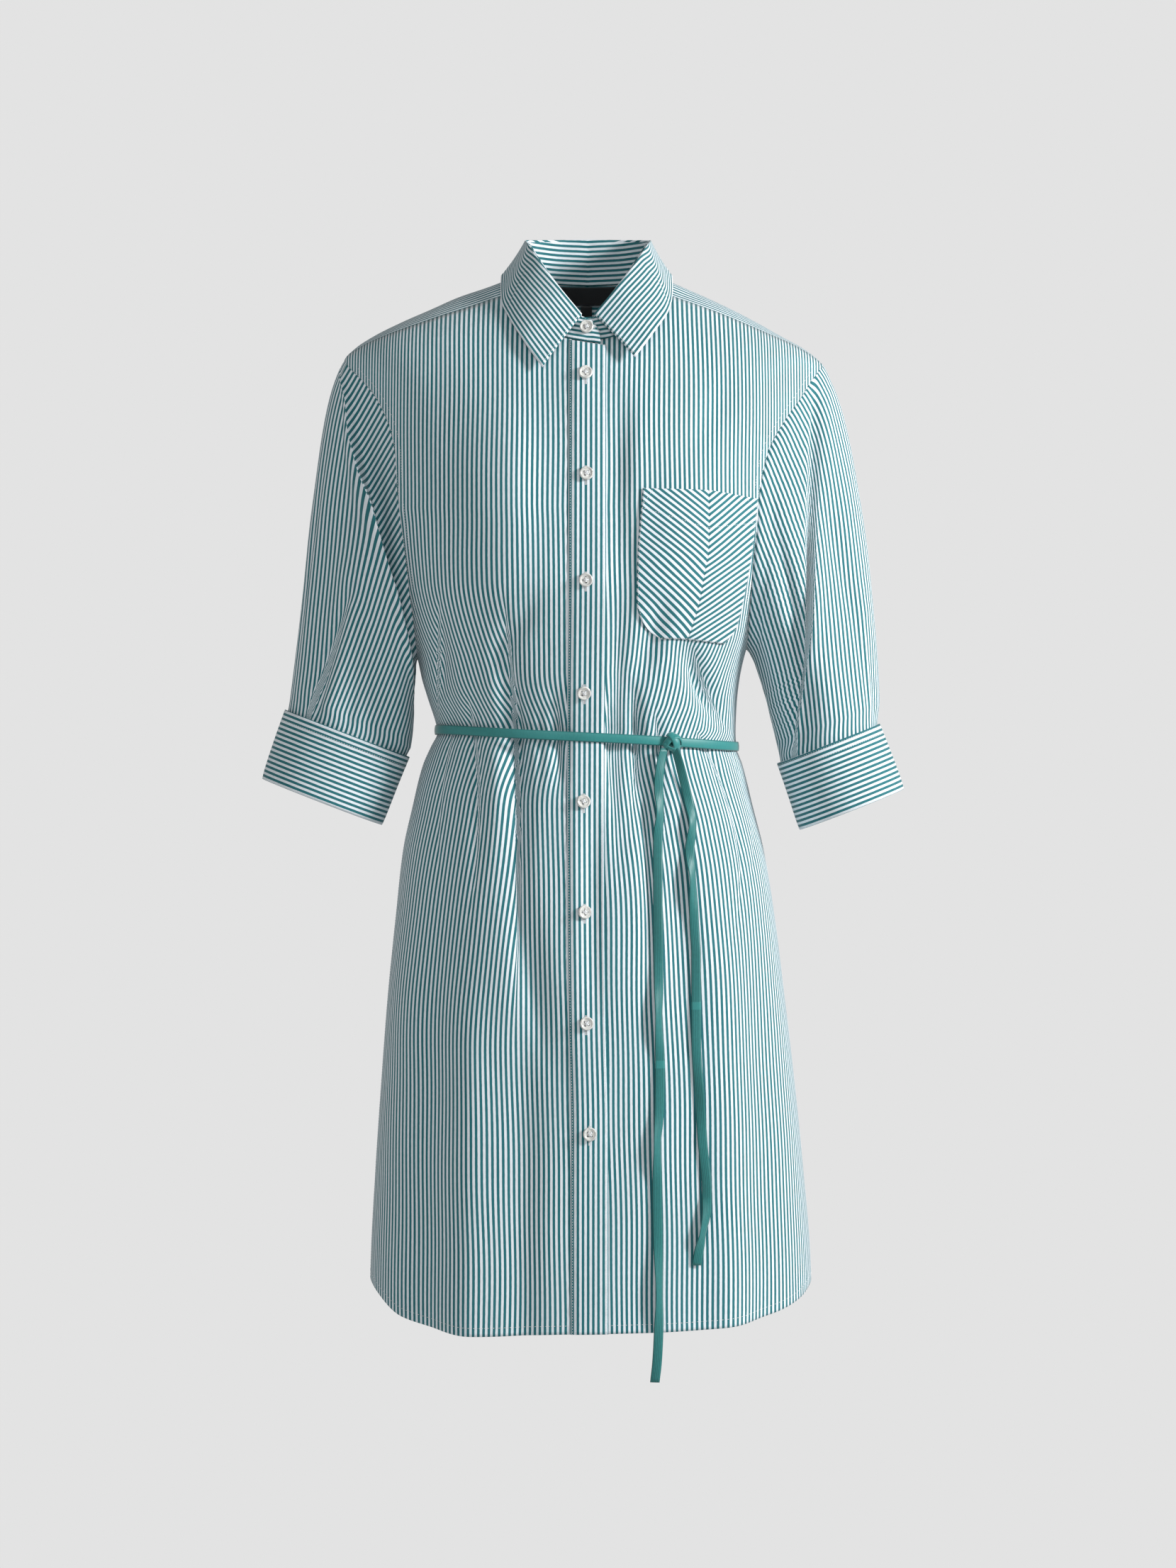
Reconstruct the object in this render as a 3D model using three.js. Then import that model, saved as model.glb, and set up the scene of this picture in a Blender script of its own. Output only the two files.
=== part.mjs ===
import * as THREE from "three";

// Shirt dress in millimetres: front towards -Y, up is +Z, X = 0 on the camera side's middle line.
// Walls of one layer, of a folded band and of the turned cuff, and the space left at seams.
const CLOTH = 1.2;
const BAND = 1.6;
const SEAM = 0.3;

// Level sections of the body: half outline to the left and right, depth in front and behind.
const SECTIONS = [
  { z: -900, left: -185.5, right: 190.5, front: 115, back: 109, power: 2.2 },
  { z: -816, left: -183.5, right: 188, front: 114, back: 108, power: 2.2 },
  { z: -744, left: -179.7, right: 182.1, front: 112, back: 106, power: 2.2 },
  { z: -672, left: -174.9, right: 174.9, front: 110, back: 104, power: 2.2 },
  { z: -600, left: -169.5, right: 166.5, front: 108, back: 101, power: 2.2 },
  { z: -528, left: -162.3, right: 157.5, front: 104, back: 97, power: 2.2 },
  { z: -474, left: -156.3, right: 148.5, front: 99, back: 92, power: 2.2 },
  { z: -438, left: -148.5, right: 139.5, front: 94, back: 86, power: 2.15 },
  { z: -402, left: -139.5, right: 130.5, front: 88, back: 80, power: 2.1 },
  { z: -386, left: -132.5, right: 125.2, front: 85, back: 77, power: 2.1 },
  { z: -374, left: -127, right: 124.6, front: 85, back: 77, power: 2.1 },
  { z: -366, left: -128.7, right: 124.8, front: 87, back: 78, power: 2.1 },
  { z: -348, left: -134.5, right: 125.7, front: 92, back: 81, power: 2.15 },
  { z: -330, left: -140, right: 127.8, front: 97, back: 83, power: 2.2 },
  { z: -312, left: -144, right: 131.5, front: 102, back: 86, power: 2.2 },
  { z: -294, left: -150, right: 137, front: 107, back: 89, power: 2.25 },
  { z: -250, left: -163.3, right: 149, front: 117, back: 94, power: 2.3 },
  { z: -209, left: -174.6, right: 159.7, front: 117, back: 97, power: 2.3 },
  { z: -172, left: -183, right: 167, front: 112, back: 98, power: 2.3 },
  { z: -140, left: -187, right: 176, front: 106, back: 97, power: 2.25 },
  { z: -114, left: -191.5, right: 188, front: 101, back: 95, power: 2.2 },
  { z: -90, left: -197, right: 196, front: 95, back: 92, power: 2.2 },
  { z: -66, left: -206.5, right: 199.5, front: 87, back: 88, power: 2.1 },
  { z: -60, left: -206, right: 195, front: 84, back: 87, power: 2.1 },
  { z: -50, left: -197, right: 182, front: 79, back: 84, power: 2.1 },
  { z: -40, left: -182, right: 164, front: 73, back: 80, power: 2.05 },
  { z: -28, left: -158.5, right: 143, front: 64, back: 76, power: 2 },
  { z: -17, left: -134, right: 122, front: 54, back: 71, power: 2 },
  { z: -6, left: -110, right: 99, front: 42, back: 65, power: 2 },
  { z: 2, left: -87, right: 81, front: 36, back: 60, power: 2 },
  { z: 10, left: -67, right: 64, front: 26, back: 55, power: 2 },
  { z: 14, left: -57, right: 56, front: 14, back: 50, power: 2 },
];

// Folds pressed into the body: a line through three points of the front or back view,
// its half width and its height (below zero it is a trough).
const FOLDS = [
  { side: "front", x0: -76, z0: -262, x1: -60, z1: -372, x2: -62, z2: -560, wide: 10, high: -7 },
  { side: "front", x0: -88, z0: -280, x1: -76, z1: -385, x2: -84, z2: -540, wide: 9, high: 3 },
  { side: "front", x0: -30, z0: -330, x1: -24, z1: -380, x2: -26, z2: -440, wide: 7, high: -3 },
  { side: "front", x0: 26, z0: -250, x1: 24, z1: -380, x2: 24, z2: -520, wide: 7, high: -4 },
  { side: "front", x0: 30, z0: -310, x1: 41, z1: -382, x2: 26, z2: -490, wide: 8, high: -5 },
  { side: "front", x0: 72, z0: -285, x1: 97, z1: -338, x2: 120, z2: -400, wide: 12, high: -8 },
  { side: "front", x0: 66, z0: -400, x1: 74, z1: -520, x2: 70, z2: -700, wide: 13, high: -4 },
  { side: "front", x0: 102, z0: -410, x1: 112, z1: -600, x2: 118, z2: -930, wide: 17, high: 4 },
  { side: "front", x0: 140, z0: -450, x1: 146, z1: -650, x2: 148, z2: -930, wide: 14, high: -3 },
  { side: "front", x0: -118, z0: -262, x1: -122, z1: -325, x2: -106, z2: -392, wide: 9, high: -5 },
  { side: "front", x0: -118, z0: -400, x1: -130, z1: -620, x2: -136, z2: -930, wide: 16, high: -4 },
  { side: "front", x0: -92, z0: -520, x1: -98, z1: -700, x2: -100, z2: -930, wide: 17, high: 4 },
  { side: "front", x0: -46, z0: -460, x1: -52, z1: -660, x2: -54, z2: -930, wide: 15, high: -3 },
  { side: "front", x0: 44, z0: -90, x1: 36, z1: -160, x2: 30, z2: -250, wide: 12, high: 3 },
  { side: "front", x0: 118, z0: -70, x1: 108, z1: -105, x2: 70, z2: -165, wide: 13, high: -3 },
  { side: "front", x0: -70, z0: -80, x1: -58, z1: -170, x2: -62, z2: -290, wide: 16, high: 3 },
  { side: "back", x0: -104, z0: -240, x1: -88, z1: -375, x2: -96, z2: -560, wide: 12, high: -8 },
  { side: "back", x0: -42, z0: -270, x1: -36, z1: -378, x2: -42, z2: -600, wide: 11, high: -7 },
  { side: "back", x0: 14, z0: -300, x1: 16, z1: -380, x2: 10, z2: -500, wide: 9, high: -5 },
  { side: "back", x0: 66, z0: -250, x1: 60, z1: -380, x2: 70, z2: -620, wide: 12, high: -8 },
  { side: "back", x0: 112, z0: -290, x1: 100, z1: -384, x2: 108, z2: -540, wide: 10, high: -6 },
  { side: "back", x0: -112, z0: -480, x1: -118, z1: -680, x2: -122, z2: -940, wide: 18, high: 4 },
  { side: "back", x0: -14, z0: -500, x1: -18, z1: -700, x2: -20, z2: -940, wide: 20, high: 4 },
  { side: "back", x0: 96, z0: -520, x1: 104, z1: -700, x2: 108, z2: -940, wide: 19, high: -4 },
];

// Middle line of the button band, from the neck to the hem, and half its width.
const FRONT_EDGE = [
  { z: -870, x: 1.2 },
  { z: -705, x: 1.2 },
  { z: -614, x: -0.6 },
  { z: -523, x: -1.6 },
  { z: -433, x: -1.9 },
  { z: -343, x: -1.6 },
  { z: -251, x: -0.8 },
  { z: -80, x: -0.6 },
  { z: -50, x: -0.5 },
];
const BAND_HALF = 15.4;
const BAND_LIFT = SEAM + BAND;
const UNDERLAP = 9;

// Armholes: an oval seen from the side.
const ARMHOLE = {
  left: { sign: -1, top: -60, bottom: -312, half: 66 },
  right: { sign: 1, top: -64, bottom: -304, half: 66 },
};

// Neck seam, collar fold and free edge of the collar, from the front middle to the back middle;
// one half, in millimetres.
const NECK = [
  { k: 0, x: 0, y: -80, z: -52 },
  { k: 0.1, x: 20, y: -77.5, z: -48 },
  { k: 0.22, x: 42, y: -61, z: -26.5 },
  { k: 0.34, x: 56, y: -35, z: -4.5 },
  { k: 0.46, x: 62, y: -10, z: 9 },
  { k: 0.58, x: 61, y: 15, z: 12.5 },
  { k: 0.72, x: 50, y: 38, z: 12 },
  { k: 0.86, x: 27, y: 52, z: 10.8 },
  { k: 1, x: 0, y: 56, z: 10 },
];
const FOLD_LINE = [
  { k: 0, x: 5, y: -76, z: -28.5 },
  { k: 0.12, x: 23.5, y: -66, z: -5 },
  { k: 0.25, x: 41.5, y: -42, z: 21.5 },
  { k: 0.4, x: 51, y: -12, z: 38 },
  { k: 0.55, x: 53.5, y: 13, z: 43.8 },
  { k: 0.72, x: 44, y: 38, z: 47.3 },
  { k: 0.88, x: 20, y: 49.5, z: 49 },
  { k: 1, x: 0, y: 51.5, z: 49.6 },
];
const LEAF_EDGE = [
  { k: 0, left: -37.7, right: 38.9, y: -95, zLeft: -74.5, zRight: -66 },
  { k: 0.12, left: -52.5, right: 53.5, y: -86, zLeft: -53, zRight: -46 },
  { k: 0.25, left: -65.5, right: 67, y: -67, zLeft: -31, zRight: -25 },
  { k: 0.4, left: -72.5, right: 70.5, y: -47, zLeft: -14, zRight: -11 },
  { k: 0.48, left: -73.5, right: 71.2, y: -28, zLeft: 1, zRight: 2 },
  { k: 0.56, left: -73.5, right: 71.2, y: -3, zLeft: 12, zRight: 12 },
  { k: 0.64, left: -70, right: 68, y: 21, zLeft: 12.5, zRight: 12.5 },
  { k: 0.72, left: -61, right: 59, y: 44, zLeft: 9.5, zRight: 9.5 },
  { k: 0.88, left: -31, right: 30, y: 66, zLeft: 3, zRight: 3 },
  { k: 1, left: 0, right: 0, y: 71, zLeft: 2.5, zRight: 2.5 },
];
// Ends of the neck band past the front middle: the left one is on top and carries the button.
const BAND_END = {
  over: [
    { xTop: 2.5, yTop: -76.3, zTop: -33.5, xLow: 5, yLow: -82.6, zLow: -52.4 },
    { xTop: 9.5, yTop: -78.8, zTop: -42, xLow: 10.3, yLow: -83.6, zLow: -53.2 },
  ],
  under: [
    { xTop: -4, yTop: -71.4, zTop: -31, xLow: -6, yLow: -77.6, zLow: -50.3 },
    { xTop: -12, yTop: -69, zTop: -30.5, xLow: -13, yLow: -75, zLow: -49.4 },
  ],
};

// Sleeves: where the tube meets the cuff, and how far it swings out at the armhole.
const SLEEVE = {
  left: {
    outX: -25.5, outZ: -34.5, inX: -3, inZ: -7, leanOut: -0.17, leanIn: -0.14, endOut: 90, endIn: 40,
    top: { x: -203.7, z: -375.1 }, low: { x: -225, z: -433 },
    halfTop: 56.5, halfLow: 55, deepTop: 40, deepLow: 41, rise: 0.356,
  },
  right: {
    outX: 23, outZ: -34, inX: 9, inZ: -7, leanOut: 0.03, leanIn: 0.2, endOut: 90, endIn: 40,
    top: { x: 203.4, z: -383.8 }, low: { x: 223.2, z: -439.3 },
    halfTop: 46.6, halfLow: 48, deepTop: 48, deepLow: 48.5, rise: 0.361,
  },
};
const SLEEVE_FOLDS = [
  { arm: "left", at: 40, turn: 10, from: 0, to: 0.9, wide: 14, high: -4 },
  { arm: "left", at: 74, turn: 4, from: 0.1, to: 1.05, wide: 14, high: 3 },
  { arm: "left", at: 118, turn: -6, from: 0.3, to: 1.05, wide: 13, high: -4 },
  { arm: "left", at: 232, turn: 8, from: 0.15, to: 1.05, wide: 15, high: -4 },
  { arm: "left", at: 300, turn: -8, from: 0, to: 0.85, wide: 15, high: -3 },
  { arm: "right", at: 46, turn: 8, from: 0, to: 1.05, wide: 13, high: -4 },
  { arm: "right", at: 82, turn: 4, from: 0.1, to: 1, wide: 14, high: 3 },
  { arm: "right", at: 128, turn: -4, from: 0.25, to: 1.05, wide: 14, high: -4 },
  { arm: "right", at: 225, turn: 8, from: 0.2, to: 1.05, wide: 15, high: -4 },
  { arm: "right", at: 296, turn: -10, from: 0, to: 0.9, wide: 16, high: -3 },
];

// Patch pocket as rows across it: left edge, middle seam and right edge.
const POCKET = [
  { z: -176, left: 44, middle: 95.9, right: 139.6, zLeft: -175.8, zMiddle: -176.6, zRight: -181.4 },
  { z: -201, left: 42.1, middle: 95.9, right: 137, zLeft: -201, zMiddle: -202, zRight: -206.1 },
  { z: -226, left: 40.3, middle: 95.7, right: 134.4, zLeft: -226, zMiddle: -226, zRight: -229 },
  { z: -250, left: 39.8, middle: 92.4, right: 130.5, zLeft: -248, zMiddle: -248, zRight: -250 },
  { z: -271, left: 39.6, middle: 88.8, right: 126.4, zLeft: -269, zMiddle: -272, zRight: -271 },
  { z: -287, left: 45.5, middle: 84.4, right: 122, zLeft: -287, zMiddle: -288, zRight: -288 },
  { z: -299, left: 60, middle: 81.5, right: 112, zLeft: -298.5, zMiddle: -299, zRight: -302 },
];

// Hem line seen from the front and from the back.
const HEM = [
  { x: -186, front: -833, back: -833 },
  { x: -178, front: -842, back: -843 },
  { x: -156, front: -860, back: -864 },
  { x: -131, front: -867, back: -873 },
  { x: -96, front: -872, back: -877 },
  { x: -20, front: -869, back: -878 },
  { x: 67, front: -867.5, back: -877 },
  { x: 114, front: -865, back: -873 },
  { x: 150, front: -858.5, back: -864 },
  { x: 178, front: -847, back: -848 },
  { x: 191, front: -835, back: -835 },
];
const BACK_SEAM_Z = -98;

// Narrow tie: height of its middle at the left and right side, width, thickness, and its knot.
const TIE = { zLeft: -372.2, zRight: -386.4, wide: 7.8, thick: 1, off: 0.9, steps: 60 };
const KNOT = { x: 69.4, z: -383.6, wide: 16.5, high: 15.5, deep: 8.5 };
const LEFT_TAIL = [
  { x: 61.5, z: -393.4, face: 30 },
  { x: 58.2, z: -421, face: 10 },
  { x: 59.3, z: -440, face: 62 },
  { x: 57.5, z: -463, face: 5 },
  { x: 57.6, z: -531, face: -10 },
  { x: 57.9, z: -577, face: 8 },
  { x: 57.9, z: -610, face: 60 },
  { x: 59, z: -648, face: 5 },
  { x: 58.4, z: -686, face: 12 },
  { x: 56.6, z: -715, face: 60 },
  { x: 56.6, z: -750, face: 4 },
  { x: 57.2, z: -790, face: 10 },
  { x: 58.3, z: -837, face: 58 },
  { x: 57.7, z: -868, face: 10 },
  { x: 56.6, z: -891, face: 0 },
  { x: 54.8, z: -908, face: -14 },
];
const RIGHT_TAIL = [
  { x: 73.6, z: -393.4, face: -30 },
  { x: 77.8, z: -409, face: -15 },
  { x: 83.6, z: -434, face: 5 },
  { x: 86.4, z: -450, face: 60 },
  { x: 84, z: -472, face: 5 },
  { x: 86.2, z: -496, face: 50 },
  { x: 87.4, z: -531, face: 6 },
  { x: 89, z: -560, face: -4 },
  { x: 89, z: -631, face: 6 },
  { x: 91.8, z: -673, face: -16 },
  { x: 94.1, z: -712, face: 4 },
  { x: 97.6, z: -752, face: -8 },
  { x: 97.4, z: -768, face: 20 },
  { x: 94, z: -787, face: 64 },
  { x: 91, z: -801, face: 10 },
  { x: 89.3, z: -813, face: 0 },
];
const TAIL_STEPS = 40;

// Buttons: one on the neck band, eight down the front.
const BUTTON = { radius: 5.7, thick: 2.4, hole: 0.8, spread: 1.55 };
const NECK_BUTTON = { x: -0.9, z: -40 };
const BUTTON_ROW = [
  { x: -2, z: -79.5 },
  { x: -1.2, z: -163.7 },
  { x: -1.7, z: -251.1 },
  { x: -3.2, z: -342.8 },
  { x: -3.8, z: -432.6 },
  { x: -3.2, z: -523.3 },
  { x: -1.2, z: -614.4 },
  { x: 1.5, z: -704.8 },
];
const LABEL = { left: -24.7, right: 22.9, top: 8.4, bottom: -6, thick: 1 };
const SIZE_TAB = { left: -6.3, right: 3.4, top: -6.8, bottom: -25, thick: 1 };

const V = (x, y, z) => new THREE.Vector3(x, y, z);
const mix = (a, b, t) => a + (b - a) * t;
const clamp = (x, a, b) => Math.min(b, Math.max(a, x));
const smooth = (t) => t * t * (3 - 2 * t);
const rad = THREE.MathUtils.degToRad;

// Reads a column of a table at any place, smoothly and without overshooting.
function read(table, key, column, at) {
  const n = table.length;
  if (at <= table[0][key]) return table[0][column];
  if (at >= table[n - 1][key]) return table[n - 1][column];
  let i = 0;
  while (table[i + 1][key] < at) i++;
  const span = (k) => table[k + 1][key] - table[k][key];
  const rise = (k) => (table[k + 1][column] - table[k][column]) / span(k);
  const slope = (k) => {
    if (k === 0) return rise(0);
    if (k === n - 1) return rise(n - 2);
    const a = rise(k - 1);
    const b = rise(k);
    if (a * b <= 0) return 0;
    const wa = 2 * span(k) + span(k - 1);
    const wb = span(k) + 2 * span(k - 1);
    return (wa + wb) / (wa / a + wb / b);
  };
  const h = span(i);
  const t = (at - table[i][key]) / h;
  return (
    (1 + 2 * t) * (1 - t) ** 2 * table[i][column] + t * (1 - t) ** 2 * h * slope(i) +
    t * t * (3 - 2 * t) * table[i + 1][column] + t * t * (t - 1) * h * slope(i + 1)
  );
}

function section(z) {
  const get = (c) => read(SECTIONS, "z", c, z);
  const l = get("left");
  const r = get("right");
  return { mid: (l + r) / 2, half: (r - l) / 2, front: get("front"), back: get("back"), power: get("power") };
}

// Point of the section at an angle: 0 is the front middle, 90 the right side, 180 the back.
function bodyXY(turn, z) {
  const s = section(z);
  const e = 2 / s.power;
  const sn = Math.sin(rad(turn));
  const cs = Math.cos(rad(turn));
  const x = s.mid + s.half * Math.sign(sn) * Math.abs(sn) ** e;
  const y = cs > 0 ? -s.front * cs ** e : s.back * Math.abs(cs) ** e;
  return { x, y, s };
}
function turnAt(x, z, back) {
  const s = section(z);
  const f = clamp((x - s.mid) / s.half, -1, 1);
  const a = THREE.MathUtils.radToDeg(Math.asin(Math.abs(f) ** (s.power / 2))) * Math.sign(f);
  return back ? (a < 0 ? -180 - a : 180 - a) : a;
}
const tieZ = (x) => mix(TIE.zLeft, TIE.zRight, clamp((x + 127) / 252, 0, 1));

function foldHeight(x, z, back) {
  let sum = 0;
  for (const f of FOLDS) {
    if ((f.side === "back") !== back || z > f.z0 || z < f.z2) continue;
    const along = (f.z0 - z) / (f.z0 - f.z2);
    const knee = (f.z0 - f.z1) / (f.z0 - f.z2);
    const bend = (f.x1 - mix(f.x0, f.x2, knee)) / (knee * (1 - knee));
    const off = (x - (mix(f.x0, f.x2, along) + bend * along * (1 - along))) / f.wide;
    const peak = along < knee ? smooth(along / knee) : smooth((1 - along) / (1 - knee));
    const hem = f.z2 < -900 ? smooth(clamp(along / knee, 0, 1)) : peak;
    const pinch = f.high > 0 ? 1 - Math.exp(-(((z - tieZ(x)) / 16) ** 2)) : 1;
    sum += f.high * Math.exp(-off * off) * hem * pinch;
  }
  return sum;
}

// Body surface with its folds, moved out by lift.
function body(turn, z, lift = 0) {
  const { x, y, s } = bodyXY(turn, z);
  const depth = y < 0 ? s.front : s.back;
  const back = Math.abs(turn) > 90;
  const edge = 1 - Math.abs((x - s.mid) / s.half) ** 6;
  const away = lift + foldHeight(x, z, back) * edge;
  const nx = (Math.sign(x - s.mid) * Math.abs((x - s.mid) / s.half) ** (s.power - 1)) / s.half;
  const ny = (Math.sign(y) * Math.abs(y / depth) ** (s.power - 1)) / depth;
  const n = Math.hypot(nx, ny) || 1;
  return V(x + (nx / n) * away, y + (ny / n) * away, z);
}
const onFront = (x, z, lift) => body(turnAt(x, z, false), z, lift);
const bandMiddle = (z) => read(FRONT_EDGE, "z", "x", z);

// Edge of the armhole as an angle round the body at a height.
function armEdge(arm, z, back) {
  const a = ARMHOLE[arm];
  const s = section(z);
  if (z <= a.bottom || z >= a.top) return 90 * a.sign;
  const c = (2 * (z - (a.top + a.bottom) / 2)) / (a.top - a.bottom);
  const y = a.half * Math.sqrt(Math.max(0, 1 - c * c)) * (back ? 0.95 : 1);
  const cs = clamp((y / (back ? s.back : s.front)) ** (s.power / 2), 0, 1);
  const t = THREE.MathUtils.radToDeg(Math.acos(cs));
  return a.sign * (back ? 180 - t : t);
}

// Neck seam as a point, and as an angle and height on the body; sign is the side.
const NECK_CORNER = 0.34;
function neckSpot(k, sign) {
  const x = sign * read(NECK, "k", "x", k);
  const z = read(NECK, "k", "z", k);
  return { turn: turnAt(x, z, k > 0.52), z, x };
}
function neckPoint(k, sign) {
  const spot = neckSpot(k, sign);
  if (k <= NECK_CORNER) return body(spot.turn, spot.z);
  const corner = neckPoint(NECK_CORNER, sign);
  const fade = 1 - clamp((k - NECK_CORNER) / 0.2, 0, 1);
  const y = read(NECK, "k", "y", k) + (corner.y - read(NECK, "k", "y", NECK_CORNER)) * fade;
  return V(spot.x, y, spot.z);
}

// Angle round the armhole at a height: 0 at the shoulder, 180 under the arm, then up the back.
function armAngle(arm, z, back) {
  const { top, bottom } = ARMHOLE[arm];
  const a = THREE.MathUtils.radToDeg(Math.acos(clamp((2 * z - top - bottom) / (top - bottom), -1, 1)));
  return back ? 360 - a : a;
}

// Front shoulder seam from the neck (t = 0) to the armhole (t = 1).
const SHOULDER_END = { left: -60.6, right: -65 };
const SEAM_BOW = 3;
function shoulderSeam(arm, t) {
  const from = neckSpot(NECK_CORNER, ARMHOLE[arm].sign);
  const z1 = SHOULDER_END[arm];
  const turn = mix(from.turn, armEdge(arm, z1, false), t ** 0.8);
  return { turn, z: mix(from.z, z1, t) + SEAM_BOW * Math.sin(Math.PI * t) };
}

// A wall on a grid of outer points (rows of columns); each edge is first drawn in by pull.
function wall(rows, thick, { loop = false, pull = {} } = {}) {
  const R = rows.length;
  const C = rows[0].length;
  const shift = (p, q, by) => p.add(q.clone().sub(p).setLength(by));
  const P = rows.map((row) => row.map((p) => p.clone()));
  for (let j = 0; j < C; j++) {
    if (pull.top) shift(P[0][j], P[1][j], pull.top);
    if (pull.bottom) shift(P[R - 1][j], P[R - 2][j], pull.bottom);
  }
  for (let i = 0; i < R; i++) {
    if (pull.start) shift(P[i][0], P[i][1], pull.start);
    if (pull.end) shift(P[i][C - 1], P[i][C - 2], pull.end);
  }
  const at = (i, j) => P[i][loop ? (j + C) % C : clamp(j, 0, C - 1)];
  const inner = P.map((row, i) =>
    row.map((p, j) => {
      const across = at(i, j + 1).clone().sub(at(i, j - 1));
      const down = at(Math.min(i + 1, R - 1), j).clone().sub(at(Math.max(i - 1, 0), j));
      const n = down.cross(across).normalize();
      const t = typeof thick === "function" ? thick(i, j) : thick;
      return p.clone().addScaledVector(n, -t);
    }),
  );
  const id = (layer, i, j) => layer * R * C + i * C + (loop ? (j + C) % C : j);
  const index = [];
  const quad = (a, b, c, d) => index.push(a, b, c, a, c, d);
  const last = loop ? C : C - 1;
  for (let i = 0; i < R - 1; i++) {
    for (let j = 0; j < last; j++) {
      quad(id(0, i, j), id(0, i + 1, j), id(0, i + 1, j + 1), id(0, i, j + 1));
      quad(id(1, i, j), id(1, i, j + 1), id(1, i + 1, j + 1), id(1, i + 1, j));
    }
    if (!loop) {
      quad(id(0, i, 0), id(1, i, 0), id(1, i + 1, 0), id(0, i + 1, 0));
      quad(id(0, i, last), id(0, i + 1, last), id(1, i + 1, last), id(1, i, last));
    }
  }
  for (let j = 0; j < last; j++) {
    quad(id(0, 0, j), id(0, 0, j + 1), id(1, 0, j + 1), id(1, 0, j));
    quad(id(0, R - 1, j), id(1, R - 1, j), id(1, R - 1, j + 1), id(0, R - 1, j + 1));
  }
  const g = new THREE.BufferGeometry();
  const flat = [...P.flat(), ...inner.flat()].flatMap((p) => [p.x, p.y, p.z]);
  g.setAttribute("position", new THREE.Float32BufferAttribute(flat, 3));
  g.setIndex(index);
  g.computeVertexNormals();
  return g;
}

const dress = new THREE.Group();
dress.name = "shirt_dress";
function piece(name, geometry, colour, roughness = 0.85) {
  const look = { color: colour, roughness, side: THREE.DoubleSide };
  const mesh = new THREE.Mesh(geometry, new THREE.MeshStandardMaterial(look));
  mesh.name = name;
  dress.add(mesh);
}
const STRIPE = 0x9fc4c2;
const TEAL = 0x2f8f86;
const BLACK = 0x17181a;
const PEARL = 0xf0ede4;

const steps = (n, from = 0, to = 1) => Array.from({ length: n + 1 }, (_, i) => mix(from, to, i / n));

// Heights of the rows of a body panel: closer together round the waist.
const ROW_HEIGHTS = [
  -52, -74, -98, -124, -152, -181, -211, -241, -270, -296, -318, -336, -352, -365, -379, -393, -408,
  -426, -450, -484, -526, -576, -632, -690, -750, -810, -868,
];
const WAIST_Z = -379;
// Near the waist the rows lean with the tie; near the hem they follow its curve.
function rowZ(height, x, view) {
  const lean = (tieZ(x) - WAIST_Z) * Math.exp(-(((height - WAIST_Z) / 55) ** 2));
  const low = clamp((-560 - height) / 308, 0, 1) ** 2 * (read(HEM, "x", view, x) + 868);
  return height + lean + low;
}

// Front panels: from the button band to the side seam and armhole, neck seam and shoulder
// seam to the hem. The right one runs on under the band.
const NECK_STOPS = {
  left: [0.0645, 0.1333, 0.2, 0.2667],
  right: [-0.045, 0, 0.0667, 0.1333, 0.2, 0.2667],
};
const SEAM_COLUMNS = 8;
const BODY_TOP = -52;
const armStops = { left: [180], right: [180] };
for (const arm of ["left", "right"]) {
  const sign = ARMHOLE[arm].sign;
  const inset = arm === "left" ? BAND_HALF - 3 : -UNDERLAP;
  const topEdge = NECK_STOPS[arm].map((k) => neckSpot(Math.abs(k), k < 0 ? -sign : sign));
  for (const t of steps(SEAM_COLUMNS)) topEdge.push(shoulderSeam(arm, t));
  const last = topEdge.length - 1;
  const rows = ROW_HEIGHTS.map((height, i) =>
    topEdge.map((top, j) => {
      const fade = clamp((BODY_TOP - height) / 250, 0, 1);
      const level = height + (top.z - BODY_TOP) * (1 - fade) ** 2;
      const from = turnAt(bandMiddle(level) + (arm === "left" ? -inset : inset), level, false);
      const topShare = (top.turn - topEdge[0].turn) / (topEdge[last].turn - topEdge[0].turn);
      const share = mix(topShare, j / last, smooth(clamp((BODY_TOP - height) / 130, 0, 1)));
      const turn = mix(from, armEdge(arm, level, false), share);
      if (i === 0) return body(top.turn, top.z);
      const z = rowZ(level, bodyXY(turn, level).x, "front");
      if (j < last) return body(turn, z);
      if (z > ARMHOLE[arm].bottom) armStops[arm].push(armAngle(arm, z, false));
      return body(armEdge(arm, z, false), z);
    }),
  );
  const ordered = arm === "left" ? rows.map((r) => r.slice().reverse()) : rows;
  const pull = arm === "left" ? { start: 0.4, top: 0.8 } : { end: 0.4, top: 0.8 };
  piece(arm === "left" ? "front_left" : "front_right", wall(ordered, CLOTH, { pull }), STRIPE);
}

// Back panel: one piece from the shoulder yoke seam to the hem.
const BACK_COLUMNS = 24;
{
  const heights = [BACK_SEAM_Z, ...ROW_HEIGHTS.slice(3)];
  const rows = heights.map((height) => {
    const l = 360 + armEdge("left", height, true);
    const r = armEdge("right", height, true);
    return steps(BACK_COLUMNS).map((u, j, all) => {
      const near = mix(r, l, u);
      const z = rowZ(height, bodyXY(near > 180 ? near - 360 : near, height).x, "back");
      const arm = j === 0 ? "right" : "left";
      const edge = j === 0 || j === all.length - 1;
      if (edge && z > ARMHOLE[arm].bottom && z < BACK_SEAM_Z - 1) armStops[arm].push(armAngle(arm, z, true));
      const turn = edge ? armEdge(arm, z, true) : near > 180 ? near - 360 : near;
      return body(turn, z);
    });
  });
  const pull = { start: 0.3, end: 0.3, top: 0.4 };
  piece("back", wall(rows, CLOTH, { pull }), STRIPE);
}

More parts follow.
